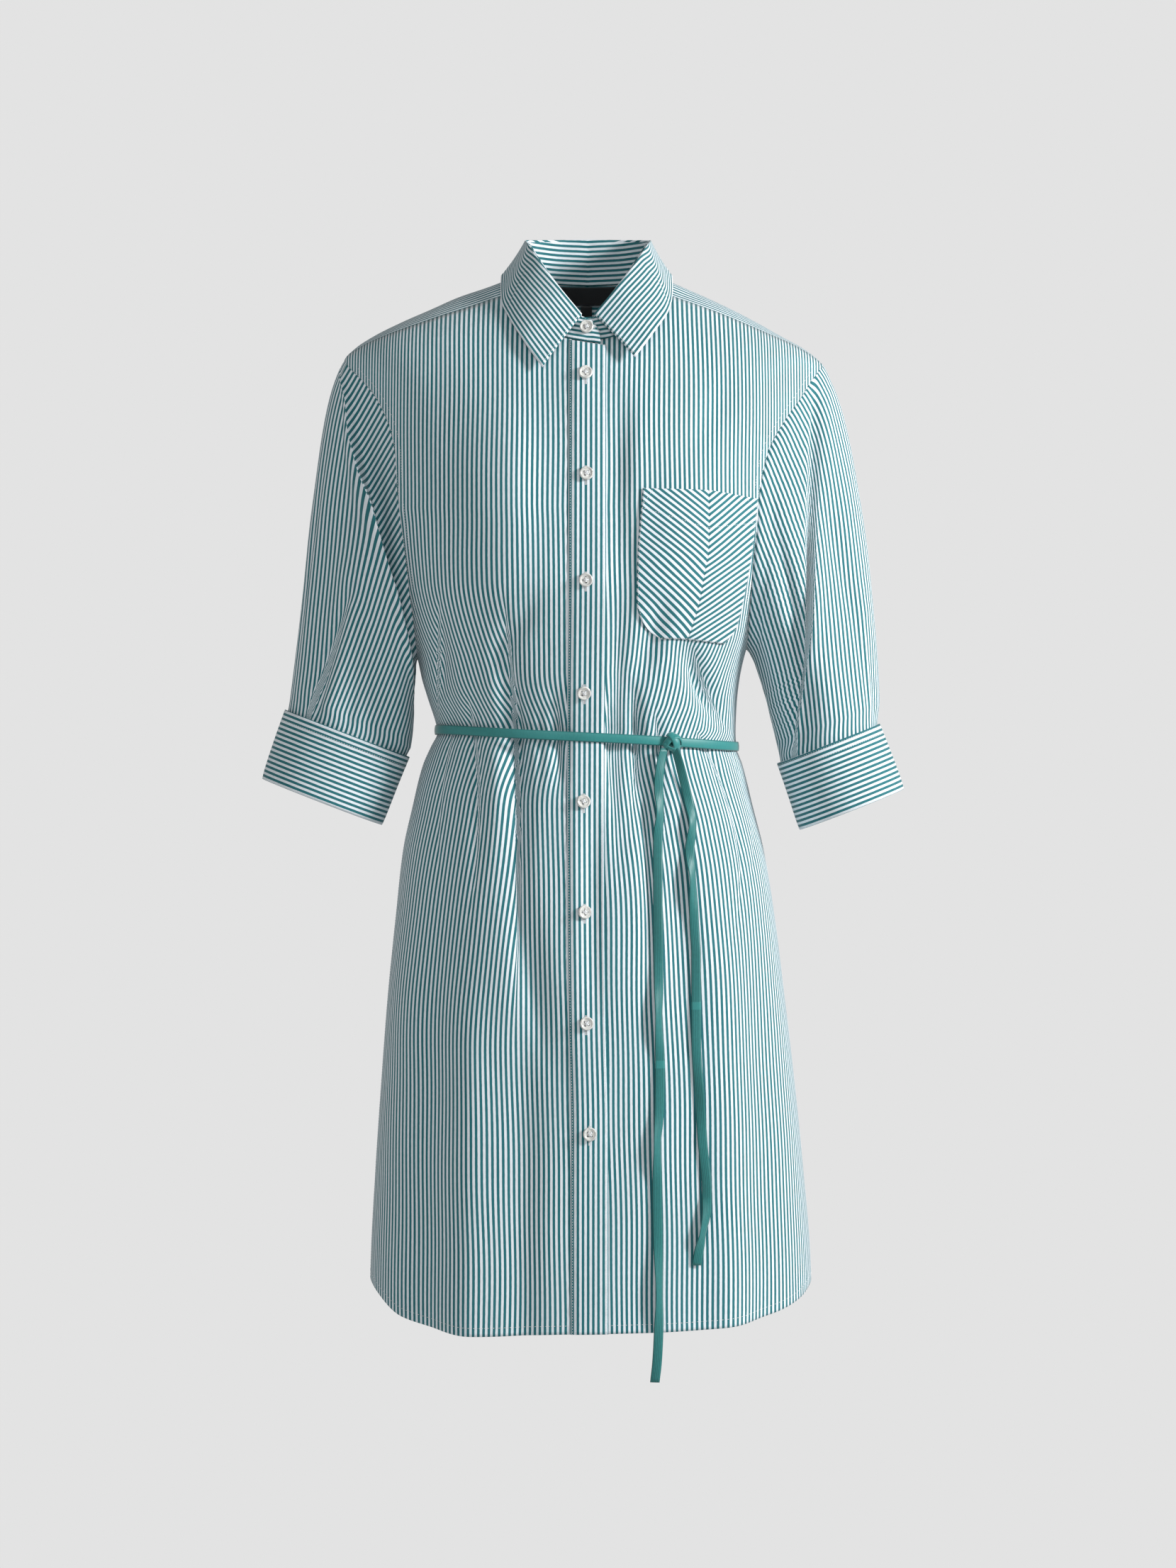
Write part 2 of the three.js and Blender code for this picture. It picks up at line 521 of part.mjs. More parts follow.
// Yoke: one piece over both shoulders, from the neck seam out to the armholes and back seam.
const STRAP_COLUMNS = 8;
const STRAP_NECK = 0.66;
{
  const side = (arm) => {
    const { sign, top, bottom } = ARMHOLE[arm];
    const first = armAngle(arm, SHOULDER_END[arm], false);
    const end = armAngle(arm, BACK_SEAM_Z, true) - 360;
    const columns = steps(STRAP_COLUMNS).map((t) => {
      const a = mix(first, end, t);
      const z = (top + bottom) / 2 + ((top - bottom) / 2) * Math.cos(rad(a));
      armStops[arm].push((a + 360) % 360);
      return { k: mix(NECK_CORNER, STRAP_NECK, t), turn: armEdge(arm, z, a < 0), z, bow: 1 - t };
    });
    const half = BACK_COLUMNS / 2;
    const ends = { left: armEdge("left", BACK_SEAM_Z, true) + 360, right: armEdge("right", BACK_SEAM_Z, true) };
    for (const t of steps(half).slice(1)) {
      const u = (t * half) / BACK_COLUMNS;
      const turn = sign > 0 ? mix(ends.right, ends.left, u) : mix(ends.left, ends.right, u) - 360;
      columns.push({ k: mix(STRAP_NECK, 1, t), turn, z: BACK_SEAM_Z, bow: 0 });
    }
    return columns.map((c) => {
      const spot = neckSpot(c.k, sign);
      const exact = neckPoint(c.k, sign);
      const from = c.k > 0.97 ? 180 * sign : spot.turn;
      return steps(SEAM_COLUMNS).map((r) => {
        const turn = mix(from, c.turn, r ** mix(1, 0.8, c.bow));
        const z = mix(spot.z, c.z, r) + SEAM_BOW * Math.sin(Math.PI * r) * c.bow;
        const start = body(from, spot.z);
        return body(turn, z).add(exact.clone().sub(start).multiplyScalar((1 - r) ** 2));
      });
    });
  };
  const right = side("right");
  const left = side("left").reverse().slice(1);
  const columns = [...right, ...left];
  const rows = steps(SEAM_COLUMNS).map((_, i) => columns.map((c) => c[i]));
  piece("yoke", wall(rows, CLOTH, { pull: { top: 0.5, bottom: 0.3, start: 0.6, end: 0.6 } }), STRIPE);
}

// Button band down the left front, over both front edges.
{
  const rows = ROW_HEIGHTS.map((height, i) =>
    [-1, -0.34, 0.34, 1].map((across) => {
      const top = mix(-50.4, -55.4, (across + 1) / 2);
      const z = i === 0 ? top : rowZ(height, across * BAND_HALF, "front");
      return onFront(bandMiddle(z) + across * BAND_HALF, z, BAND_LIFT + 0.5);
    }),
  );
  piece("button_band", wall(rows, BAND), STRIPE);
}

// Neck band (stand) and the collar leaf that turns down over it, right end to left end.
const ringAt = (table, k, sign) => V(sign * read(table, "k", "x", k), read(table, "k", "y", k), read(table, "k", "z", k));
const outwards = (p) => V(p.x, p.y + 8, 0).normalize();
const RING = 15;
{
  const column = (k, sign) => {
    const fold = ringAt(FOLD_LINE, k, sign);
    const top = fold.clone().addScaledVector(outwards(fold), -2.4).add(V(0, 0, -2));
    const low = neckPoint(k, sign);
    const near = 1 - smooth(clamp(k / 0.16, 0, 1));
    const shift = (sign < 0 ? -1.3 : 1) * near;
    low.z += Math.max(0, shift);
    return steps(4).map((r) => top.clone().lerp(low, r).add(V(0, shift, 0)));
  };
  const end = (e) => steps(4).map((r) => V(e.xTop, e.yTop, e.zTop).lerp(V(e.xLow, e.yLow, e.zLow), r));
  const half = steps(RING);
  const columns = [
    ...BAND_END.under.slice().reverse().map(end),
    ...half.map((k) => column(k, 1)),
    ...half.slice(0, RING).reverse().map((k) => column(k, -1)),
    ...BAND_END.over.map(end),
  ];
  const rows = steps(4).map((_, i) => columns.map((c) => c[i]));
  piece("neck_band", wall(rows, BAND), STRIPE);
}
{
  const column = (k, sign) => {
    const fold = ringAt(FOLD_LINE, k, sign);
    const side = sign < 0 ? "Left" : "Right";
    const edge = V(
      read(LEAF_EDGE, "k", sign < 0 ? "left" : "right", k),
      read(LEAF_EDGE, "k", "y", k),
      read(LEAF_EDGE, "k", "z" + side, k),
    );
    return steps(4).map((r) => {
      const p = fold.clone().lerp(edge, r);
      return p.addScaledVector(outwards(p), 2.2 * Math.sin(Math.PI * r) ** 0.8);
    });
  };
  const half = steps(RING);
  const columns = [...half.map((k) => column(k, 1)), ...half.slice(0, RING).reverse().map((k) => column(k, -1))];
  const rows = steps(4).map((_, i) => columns.map((c) => c[i]));
  piece("collar", wall(rows, BAND), STRIPE);
}

// Sleeves and turned cuffs: tubes from the armhole to the forearm, angle 0 on the outer side.
function armPoint(arm, a) {
  const { top, bottom } = ARMHOLE[arm];
  const z = (top + bottom) / 2 + ((top - bottom) / 2) * Math.cos(rad(a));
  return body(armEdge(arm, z, a > 180), z);
}
function cuffPoint(arm, a, s, less = 0) {
  const c = SLEEVE[arm];
  const sign = ARMHOLE[arm].sign;
  const half = mix(c.halfTop, c.halfLow, s) - less;
  const deep = mix(c.deepTop, c.deepLow, s) - less;
  const across = V(sign * Math.sqrt(1 - c.rise ** 2), 0, c.rise);
  const middle = V(mix(c.top.x, c.low.x, s), 0, mix(c.top.z, c.low.z, s));
  return middle.addScaledVector(across, half * Math.cos(rad(a))).add(V(0, -deep * Math.sin(rad(a)), 0));
}
const SLEEVE_LONG = 12;
function sleevePoint(arm, a, t) {
  const c = SLEEVE[arm];
  const outer = (1 + Math.cos(rad(a))) / 2;
  const p0 = armPoint(arm, a);
  const p3 = cuffPoint(arm, a, 0.03, 3.2);
  const p1 = p0.clone().add(
    V(mix(c.inX, c.outX, outer), -12 * Math.sin(rad(a)), mix(c.inZ, c.outZ, outer)),
  );
  const lean = mix(c.leanIn, c.leanOut, outer);
  const back = mix(c.endIn, c.endOut, outer);
  const p2 = p3.clone().add(V(-lean * back, 0, Math.sqrt(1 - lean ** 2) * back));
  const w = 1 - t;
  const p = p0.multiplyScalar(w ** 3)
    .addScaledVector(p1, 3 * w * w * t)
    .addScaledVector(p2, 3 * w * t * t)
    .addScaledVector(p3, t ** 3);
  let high = 0;
  for (const f of SLEEVE_FOLDS) {
    if (f.arm !== arm || t < f.from || t > f.to) continue;
    const along = (t - f.from) / (f.to - f.from);
    const off = (((a - f.at - f.turn * along + 540) % 360) - 180) / f.wide;
    high += f.high * Math.exp(-off * off) * Math.sin(Math.PI * along) ** 0.7;
  }
  const hold = clamp((1 - t) / 0.12, 0, 1) * clamp(t / 0.1, 0, 1);
  const out = V(Math.cos(rad(a)) * ARMHOLE[arm].sign, -Math.sin(rad(a)), 0);
  return p.addScaledVector(out, high * hold);
}
for (const arm of ["left", "right"]) {
  const stops = armStops[arm].sort((a, b) => a - b);
  const order = stops.filter((a, i) => i === 0 || a - stops[i - 1] > 1.5);
  const turns = arm === "left" ? order : order.slice().reverse();
  const rows = steps(SLEEVE_LONG).map((t) => turns.map((a) => sleevePoint(arm, a, t ** 1.15)));
  piece("sleeve_" + arm, wall(rows, CLOTH, { loop: true, pull: { top: 0.7 } }), STRIPE);
  const cuff = steps(3).map((s) => turns.map((a) => cuffPoint(arm, a, s)));
  piece("cuff_" + arm, wall(cuff, BAND + 0.3, { loop: true }), STRIPE);
}

const find = new THREE.Raycaster();
function hit(name, x, z, from = -400) {
  const target = dress.getObjectByName(name);
  find.set(V(x, from, z), V(0, Math.sign(-from), 0));
  return find.intersectObject(target, false)[0];
}

// Chest pocket in two halves cut on the bias and joined down the middle.
for (const half of ["left", "right"]) {
  const rows = POCKET.map((row) =>
    steps(5).map((u) => {
      const onLeft = half === "left";
      const x = onLeft ? mix(row.left, row.middle, u) : mix(row.middle, row.right, u);
      const z = onLeft ? mix(row.zLeft, row.zMiddle, u) : mix(row.zMiddle, row.zRight, u);
      const under = hit("front_right", x, z);
      return under.point.clone().addScaledVector(under.face.normal, SEAM + CLOTH + 0.9);
    }),
  );
  const pull = half === "left" ? { end: 0.15 } : { start: 0.15 };
  piece("pocket_" + half, wall(rows, CLOTH, { pull }), STRIPE);
}

// Narrow tie round the waist, over the button band, with its knot and two hanging tails.
{
  const cloth = ["front_left", "front_right", "back", "button_band"].map((n) => dress.getObjectByName(n));
  const ring = (shift) =>
    steps(TIE.steps - 1, 0, (360 * (TIE.steps - 1)) / TIE.steps).map((a) => {
      const turn = a > 180 ? a - 360 : a;
      const plain = bodyXY(turn, WAIST_Z);
      const z = tieZ(plain.x);
      const way = V(plain.x, plain.y, 0).normalize();
      const reach = [-4.2, 0, 4.2].map((d) => {
        find.set(V(0, 0, z + d).addScaledVector(way, 300), way.clone().negate());
        const [touch] = find.intersectObjects(cloth, false);
        const even = bodyXY(turn, z + d);
        return Math.max(touch ? Math.hypot(touch.point.x, touch.point.y) : 0, Math.hypot(even.x, even.y));
      });
      return V(0, 0, z + shift).addScaledVector(way, Math.max(...reach) + TIE.off + TIE.thick);
    });
  piece("tie", wall([ring(TIE.wide / 2), ring(-TIE.wide / 2)], TIE.thick, { loop: true }), TEAL, 0.45);
}
// Places a shape made in the XY plane flat on the cloth at a spot of the front, a little off it.
function seat(on, spot, off, reach) {
  const ahead = (x, z) => hit(on, x, z).point;
  const across = ahead(spot.x + reach, spot.z).sub(ahead(spot.x - reach, spot.z)).normalize();
  const up = ahead(spot.x, spot.z + reach).sub(ahead(spot.x, spot.z - reach)).normalize();
  const n = across.clone().cross(up).normalize();
  const base = ahead(spot.x, spot.z).addScaledVector(n, off);
  return new THREE.Matrix4().makeBasis(across, n.clone().cross(across), n).setPosition(base);
}
{
  const g = new THREE.SphereGeometry(1, 16, 10);
  const p = g.getAttribute("position");
  for (let i = 0; i < p.count; i++) {
    const x = p.getX(i);
    const y = p.getY(i);
    const z = p.getZ(i);
    const lump = 1 + 0.08 * Math.sin(5 * x + 2 * y) * Math.cos(4 * y - z);
    p.setXYZ(i, (x * lump * KNOT.wide) / 2, (y * lump * KNOT.high) / 2, (z * KNOT.deep) / 2);
  }
  g.applyMatrix4(seat("tie", KNOT, KNOT.deep / 2 + SEAM, 3));
  g.computeVertexNormals();
  piece("knot", g, TEAL, 0.45);
}
for (const [name, table] of [["tail_left", LEFT_TAIL], ["tail_right", RIGHT_TAIL]]) {
  const path = table.map((p) => ({ ...p, down: -p.z }));
  const rows = steps(TAIL_STEPS).map((t) => {
    const down = mix(path[0].down, path[path.length - 1].down, t);
    const x = read(path, "down", "x", down);
    const face = rad(read(path, "down", "face", down));
    const cloth = Math.min(...[-4, 0, 4].map((d) => onFront(x + d, -Math.min(down, 870), 0).y));
    const y = cloth - 1.6 - 3.9 * Math.abs(Math.sin(face)) - 3.4 * (1 - clamp((down - 393) / 40, 0, 1));
    const side = V(Math.cos(face), Math.sin(face), 0).multiplyScalar(TIE.wide / 2);
    const p = V(x, y, -down);
    return [p.clone().sub(side), p.clone().add(side)];
  });
  piece(name, wall(rows, 1), TEAL, 0.45);
}

// Buttons with four holes, laid flat on the cloth under them.
function button(name, spot, on) {
  const ring = (r, n, x = 0, y = 0) =>
    Array.from({ length: n }, (_, i) => {
      const a = (2 * Math.PI * i) / n;
      return new THREE.Vector2(x + r * Math.cos(a), y + r * Math.sin(a));
    });
  const outline = new THREE.Shape(ring(BUTTON.radius, 18));
  for (const [u, v] of [[-1, -1], [1, -1], [1, 1], [-1, 1]])
    outline.holes.push(new THREE.Path(ring(BUTTON.hole, 6, (u * BUTTON.spread) / 1.4, (v * BUTTON.spread) / 1.4)));
  const g = new THREE.ExtrudeGeometry(outline, { depth: BUTTON.thick, bevelEnabled: false });
  g.applyMatrix4(seat(on, spot, on === "neck_band" ? 2 * SEAM : SEAM + 0.1, 4));
  piece(name, g, PEARL, 0.3);
}
button("button_neck", NECK_BUTTON, "neck_band");
BUTTON_ROW.forEach((spot, i) => button("button_" + (i + 1), spot, "button_band"));

// Woven label at the back of the neck, inside, and the size tab hanging under it.
for (const [name, tag, out] of [["neck_label", LABEL, 0], ["size_tab", SIZE_TAB, 0.6]]) {
  const rows = steps(2).map((v) =>
    steps(name === "neck_label" ? 6 : 1).map((u) => {
      const x = mix(tag.right, tag.left, u);
      const z = mix(tag.top, tag.bottom, v);
      return V(x, body(turnAt(x, z, true), z).y - 2.05 - out, z);
    }),
  );
  piece(name, wall(rows, tag.thick), BLACK);
}

export default dress;
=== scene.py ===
"""Shirt dress of striped cotton shirting with a narrow ribbon tie, standing open in its worn form."""

import math

import bmesh
import bpy
import mathutils
import numpy as np
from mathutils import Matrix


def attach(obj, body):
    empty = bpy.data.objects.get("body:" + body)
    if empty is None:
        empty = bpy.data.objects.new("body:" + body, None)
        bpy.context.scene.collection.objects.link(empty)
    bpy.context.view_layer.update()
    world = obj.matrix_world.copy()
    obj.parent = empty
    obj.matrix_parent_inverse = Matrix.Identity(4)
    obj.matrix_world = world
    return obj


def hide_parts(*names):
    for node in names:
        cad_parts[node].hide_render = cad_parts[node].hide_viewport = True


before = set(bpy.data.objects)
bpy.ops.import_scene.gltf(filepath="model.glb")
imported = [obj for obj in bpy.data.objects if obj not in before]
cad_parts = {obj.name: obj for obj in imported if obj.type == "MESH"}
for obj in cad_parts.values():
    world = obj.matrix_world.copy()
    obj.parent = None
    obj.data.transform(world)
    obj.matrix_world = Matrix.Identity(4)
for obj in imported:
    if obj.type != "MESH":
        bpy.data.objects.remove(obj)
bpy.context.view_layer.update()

# Camera: level and straight in front, at the height of the waist, with the whole dress
# in the middle of an upright picture. Each object is put into the scene by the same function.


def put(name, data):
    """A new object of some data, in the scene."""
    made = bpy.data.objects.new(name, data)
    bpy.context.scene.collection.objects.link(made)
    return made


CAMERA_AWAY = 3.5
CAMERA_HEIGHT = -0.418
PICTURE_HEIGHT = 1.3272
SENSOR = 36.0
lens = bpy.data.cameras.new("camera")
lens.sensor_fit = "VERTICAL"
lens.sensor_height = SENSOR
lens.lens = SENSOR * CAMERA_AWAY / PICTURE_HEIGHT
camera = put("camera", lens)
camera.location = (0, -CAMERA_AWAY, CAMERA_HEIGHT)
camera.rotation_euler = (math.pi / 2, 0, 0)
bpy.context.scene.camera = camera


# Front panels: cotton shirting cut along the stripe, gathered a little by the tie. The left one
# ends under the button band, and the right one runs on under it. Both are sewn to the yoke, to
# the back at their sides and to the sleeves. Sizes are in millimetres.
MM = 0.001


def columns(names, rows):
    """A table with named columns."""
    return dict(zip(names.split(), np.array(rows, float).T))


# Level sections of the body: their sides, depths, and how square they are.
SECTIONS = columns("z left right front back power", [
    (-900, -185.5, 190.5, 115, 109, 2.2),
    (-816, -183.5, 188, 114, 108, 2.2),
    (-744, -179.7, 182.1, 112, 106, 2.2),
    (-672, -174.9, 174.9, 110, 104, 2.2),
    (-600, -169.5, 166.5, 108, 101, 2.2),
    (-528, -162.3, 157.5, 104, 97, 2.2),
    (-474, -156.3, 148.5, 99, 92, 2.2),
    (-438, -148.5, 139.5, 94, 86, 2.15),
    (-402, -139.5, 130.5, 88, 80, 2.1),
    (-386, -132.5, 125.2, 85, 77, 2.1),
    (-374, -127, 124.6, 85, 77, 2.1),
    (-366, -128.7, 124.8, 87, 78, 2.1),
    (-348, -134.5, 125.7, 92, 81, 2.15),
    (-330, -140, 127.8, 97, 83, 2.2),
    (-312, -144, 131.5, 102, 86, 2.2),
    (-294, -150, 137, 107, 89, 2.25),
    (-250, -163.3, 149, 117, 94, 2.3),
    (-209, -174.6, 159.7, 117, 97, 2.3),
    (-172, -183, 167, 112, 98, 2.3),
    (-140, -187, 176, 106, 97, 2.25),
    (-114, -191.5, 188, 101, 95, 2.2),
    (-90, -197, 196, 95, 92, 2.2),
    (-66, -206.5, 199.5, 87, 88, 2.1),
    (-60, -206, 195, 84, 87, 2.1),
    (-50, -197, 182, 79, 84, 2.1),
    (-40, -182, 164, 73, 80, 2.05),
    (-28, -158.5, 143, 64, 76, 2),
    (-17, -134, 122, 54, 71, 2),
    (-6, -110, 99, 42, 65, 2),
    (2, -87, 81, 36, 60, 2),
    (10, -67, 64, 26, 55, 2),
    (14, -57, 56, 14, 50, 2),
])
# Folds of the body: a line through three points of the front (1) or back (-1) view, its half
# width towards -X and +X, its height, and the cloth that it takes up.
FRONT, BACK = 1, -1
FOLDS = columns("side x0 z0 x1 z1 x2 z2 near far high lap", [
    (FRONT, -76, -262, -60, -374, -62, -560, 10, 10, -7, 0),
    (FRONT, -88, -280, -76, -385, -84, -540, 9, 9, 3, 0),
    (FRONT, -30, -330, -24, -380, -26, -440, 7, 7, -3, 5),
    (FRONT, 26, -250, 24, -380, 24, -520, 7, 7, -4, 7),
    (FRONT, 30, -310, 41, -382, 26, -490, 8, 8, -5, 6),
    (FRONT, 72, -285, 97, -338, 120, -400, 12, 12, -8, 8),
    (FRONT, 66, -400, 74, -520, 70, -700, 13, 13, -4, 0),
    (FRONT, 102, -410, 112, -600, 118, -930, 17, 17, 4, 0),
    (FRONT, 140, -450, 146, -650, 148, -930, 14, 14, -3, 0),
    (FRONT, -118, -262, -122, -325, -106, -392, 9, 9, -5, 0),
    (FRONT, -118, -400, -130, -620, -136, -930, 16, 16, -4, 0),
    (FRONT, -92, -520, -98, -700, -100, -930, 17, 17, 4, 0),
    (FRONT, -46, -460, -52, -660, -54, -930, 15, 15, -3, 0),
    (FRONT, 44, -90, 36, -160, 30, -250, 12, 12, 3, 0),
    (FRONT, 118, -70, 108, -105, 70, -165, 13, 13, -3, 0),
    (FRONT, 82, -62, 84, -185, 80, -330, 36, 40, 6, 0),
    (FRONT, -84, -62, -80, -185, -84, -330, 40, 34, 5, 0),
    (FRONT, 27, -70, 26, -190, 24, -360, 10, 12, -3, 0),
    (FRONT, -70, -80, -58, -170, -62, -290, 16, 16, 3, 0),
    (FRONT, -70, -250, -60, -376, -62, -640, 4, 3, -4, 26),
    (FRONT, -64, -430, -52, -560, -20, -690, 10, 16, -3.5, 0),
    (FRONT, 44, -392, 49, -470, 46, -640, 6, 7, -5, 4),
    (FRONT, 8, -400, 4, -500, 10, -660, 9, 9, -3.5, 0),
    (FRONT, 64, -255, 52, -300, 34, -352, 9, 11, -5, 0),
    (FRONT, -40, -255, -64, -300, -92, -345, 11, 9, -3, 0),
    (FRONT, -100, -340, -94, -378, -104, -560, 5, 4, -2.5, 8),
    (FRONT, -42, -345, -40, -379, -44, -450, 3, 4, -1.6, 0),
    (FRONT, -28, -335, -23, -380, -25, -430, 3, 2.5, -2.6, 4),
    (FRONT, 19, -330, 17, -382, 22, -455, 3, 3, -3, 4),
    (FRONT, 36, -330, 40, -383, 33, -452, 3, 4, -3, 4),
    (FRONT, 54, -350, 58, -383, 62, -500, 4, 5, -2.2, 6),
    (FRONT, 84, -290, 98, -340, 124, -384, 4, 6, -4, 6),
    (FRONT, 88, -372, 96, -386, 116, -560, 5, 5, -2.6, 8),
    (FRONT, 112, -380, 116, -387, 128, -520, 4, 4, -1.8, 5),
    (FRONT, -121, -250, -125, -330, -126, -374, 3, 3.5, -3, 9),
    (FRONT, -110, -366, -112, -374, -120, -520, 5, 4, -1.8, 4),
    (BACK, -104, -240, -88, -375, -96, -560, 12, 12, -8, 8),
    (BACK, -42, -270, -36, -378, -42, -600, 11, 11, -7, 9),
    (BACK, 14, -300, 16, -380, 10, -500, 9, 9, -5, 6),
    (BACK, 66, -250, 60, -380, 70, -620, 12, 12, -8, 10),
    (BACK, 112, -290, 100, -384, 108, -540, 10, 10, -6, 6),
    (BACK, -112, -480, -118, -680, -122, -940, 18, 18, 4, 0),
    (BACK, -14, -500, -18, -700, -20, -940, 20, 20, 4, 0),
    (BACK, 96, -520, 104, -700, 108, -940, 19, 19, -4, 0),
    (BACK, -90, -300, -88, -376, -92, -480, 3, 3, -3, 4),
    (BACK, -66, -340, -62, -377, -64, -430, 3, 4, -2.4, 4),
    (BACK, -38, -320, -36, -378, -40, -500, 3, 4, -3.4, 5),
    (BACK, -12, -345, -10, -379, -12, -440, 4, 3, -2.2, 4),
    (BACK, 34, -335, 38, -382, 36, -450, 4, 3, -2.6, 4),
    (BACK, 60, -310, 60, -383, 66, -520, 3, 4, -3.6, 6),
    (BACK, 84, -345, 82, -384, 88, -440, 4, 3, -2.2, 4),
])
FOLD_SCALE = 1.35
# Heights of the tie at the left and right side, and the width between them.
TIE_LEFT, TIE_RIGHT = -372.2, -386.4
WAIST_LEFT, WAIST_WIDE = -127, 252
# Middle line of the button band.
FRONT_EDGE = columns("z x", [
    (-870, 1.2), (-705, 1.2), (-614, -0.6), (-523, -1.6), (-433, -1.9),
    (-343, -1.6), (-251, -0.8), (-80, -0.6), (-50, -0.5),
])
BAND_HALF = 15.4
UNDERLAP = 9
# Armholes are ovals seen from the side; NECK is the neck seam from the front to the back middle.
ARMHOLE = {
    "left": {"sign": -1, "top": -60, "bottom": -312, "half": 66, "shoulder": -60.6, "bow": -5},
    "right": {"sign": 1, "top": -64, "bottom": -304, "half": 66, "shoulder": -65, "bow": 0},
}
NECK = columns("k x y z", [
    (0, 0, -80, -52), (0.1, 20, -77.5, -48), (0.22, 42, -61, -26.5), (0.34, 56, -35, -4.5),
    (0.46, 62, -10, 9), (0.58, 61, 15, 12.5), (0.72, 50, 38, 12), (0.86, 27, 52, 10.8),
    (1, 0, 56, 10),
])
NECK_CORNER = 0.34
NECK_STOPS = {
    "left": [0.0645, 0.1333, 0.2, 0.2667, NECK_CORNER],
    "right": [-0.045, 0, 0.0667, 0.1333, 0.2, 0.2667, NECK_CORNER],
}
BODY_TOP = -52
BODY_BOTTOM = -868
WAIST = -379
HEM = columns("x front back", [
    (-186, -833, -833), (-178, -842, -843), (-156, -860, -864), (-131, -867, -873),
    (-96, -872, -877), (-20, -869, -878), (67, -867.5, -877), (114, -865, -873),
    (150, -858.5, -864), (178, -847, -848), (191, -835, -835),
])


def read(table, key, column, at):
    """A column's value at a place between its rows, smooth and without overshooting."""
    k, v = table[key], table[column]
    at = np.clip(at, k[0], k[-1])
    h = np.diff(k)
    rise = np.diff(v) / h
    slope = np.concatenate([rise[:1], np.zeros(len(k) - 2), rise[-1:]])
    same = rise[:-1] * rise[1:] > 0
    a, b = rise[:-1][same], rise[1:][same]
    wa = (2 * h[1:] + h[:-1])[same]
    wb = (h[1:] + 2 * h[:-1])[same]
    slope[1:-1][same] = (wa + wb) / (wa / a + wb / b)
    i = np.clip(np.searchsorted(k, at, side="right") - 1, 0, len(k) - 2)
    t = (at - k[i]) / h[i]
    return (
        (1 + 2 * t) * (1 - t) ** 2 * v[i] + t * (1 - t) ** 2 * h[i] * slope[i]
        + t * t * (3 - 2 * t) * v[i + 1] + t * t * (t - 1) * h[i] * slope[i + 1]
    )


def mix(a, b, t):
    """From a at 0 to b at 1."""
    return a + (b - a) * t


def smooth(t):
    """From 0 to 1 with a soft start and end."""
    t = np.clip(t, 0, 1)
    return t * t * (3 - 2 * t)


def section(z):
    """Middle, half width, front and back depth and squareness of the body at a height."""
    left, right = read(SECTIONS, "z", "left", z), read(SECTIONS, "z", "right", z)
    depth = [read(SECTIONS, "z", c, z) for c in ("front", "back", "power")]
    return (left + right) / 2, (right - left) / 2, *depth


def outline(turn, z):
    """Point of a level section at an angle: 0 is the front middle, 90 the right side."""
    middle, half, front, back, power = section(z)
    sn, cs = np.sin(np.radians(turn)), np.cos(np.radians(turn))
    x = middle + half * np.sign(sn) * np.abs(sn) ** (2 / power)
    y = np.where(cs > 0, -front, back) * np.abs(cs) ** (2 / power)
    return x, y


def turn_at(x, z, back):
    """Angle of the outline at a place across the front or the back view."""
    middle, half, _, _, power = section(z)
    f = np.clip((x - middle) / half, -1, 1)
    a = np.degrees(np.arcsin(np.abs(f) ** (power / 2))) * np.sign(f)
    return np.where(back, np.where(a < 0, -180 - a, 180 - a), a)


def running(points, axis=1):
    """Length from the start of each row (axis 1) or column (axis 0) of a grid of points."""
    step = np.linalg.norm(np.diff(points, axis=axis), axis=-1)
    start = [(1, 0) if k == axis else (0, 0) for k in range(step.ndim)]
    return np.cumsum(np.pad(step, start), axis)


def tie_height(x):
    """Height of the tie, which hangs a little lower on the right."""
    return mix(TIE_LEFT, TIE_RIGHT, np.clip((x - WAIST_LEFT) / WAIST_WIDE, 0, 1))


def fold_line(f, z):
    """Place of a fold's line at a height, and how strong the fold is there, from 0 to 1."""
    along = np.clip((f["z0"] - z) / (f["z0"] - f["z2"]), 0, 1)
    knee = (f["z0"] - f["z1"]) / (f["z0"] - f["z2"])
    bend = (f["x1"] - mix(f["x0"], f["x2"], knee)) / (knee * (1 - knee))
    line = mix(f["x0"], f["x2"], along) + bend * along * (1 - along)
    peak = np.where(along < knee, smooth(along / knee), smooth((1 - along) / (1 - knee)))
    if f["z2"] < -900:
        peak = smooth(along / knee)
    return line, peak


def each_fold():
    """Each row of the fold table, with its names."""
    for row in zip(*FOLDS.values()):
        yield dict(zip(FOLDS, row))


def fold_height(x, z, back):
    """All folds together; a raised one is held down where it passes under the tie."""
    total = np.zeros(np.broadcast(x, z).shape)
    for f in each_fold():
        line, peak = fold_line(f, z)
        off = (x - line) / np.where(x < line, f["near"], f["far"])
        pinch = 1 - np.exp(-(((z - tie_height(x)) / 16) ** 2)) if f["high"] > 0 else 1
        part = FOLD_SCALE * f["high"] * np.exp(-off * off) * peak * pinch
        total += np.where(back == (f["side"] == BACK), part, 0)
    return total


def ripple(x, z, back):
    """Slight uneven waves of soft cloth, still under the tie."""
    shift = np.where(back, 31.0, 0.0)
    wave = np.sin((x + shift) / 8.3 + 1.4 * np.sin(z / 83 + 0.6)) * np.sin(z / 47 + x / 61 + 0.4)
    wave += 0.7 * np.sin((x - shift) / 14.5 - 0.9 * np.sin(z / 58)) * np.sin(z / 71 - x / 90 + 1.9)
    return 0.42 * wave * (1 - np.exp(-(((z - tie_height(x)) / 14) ** 2)))


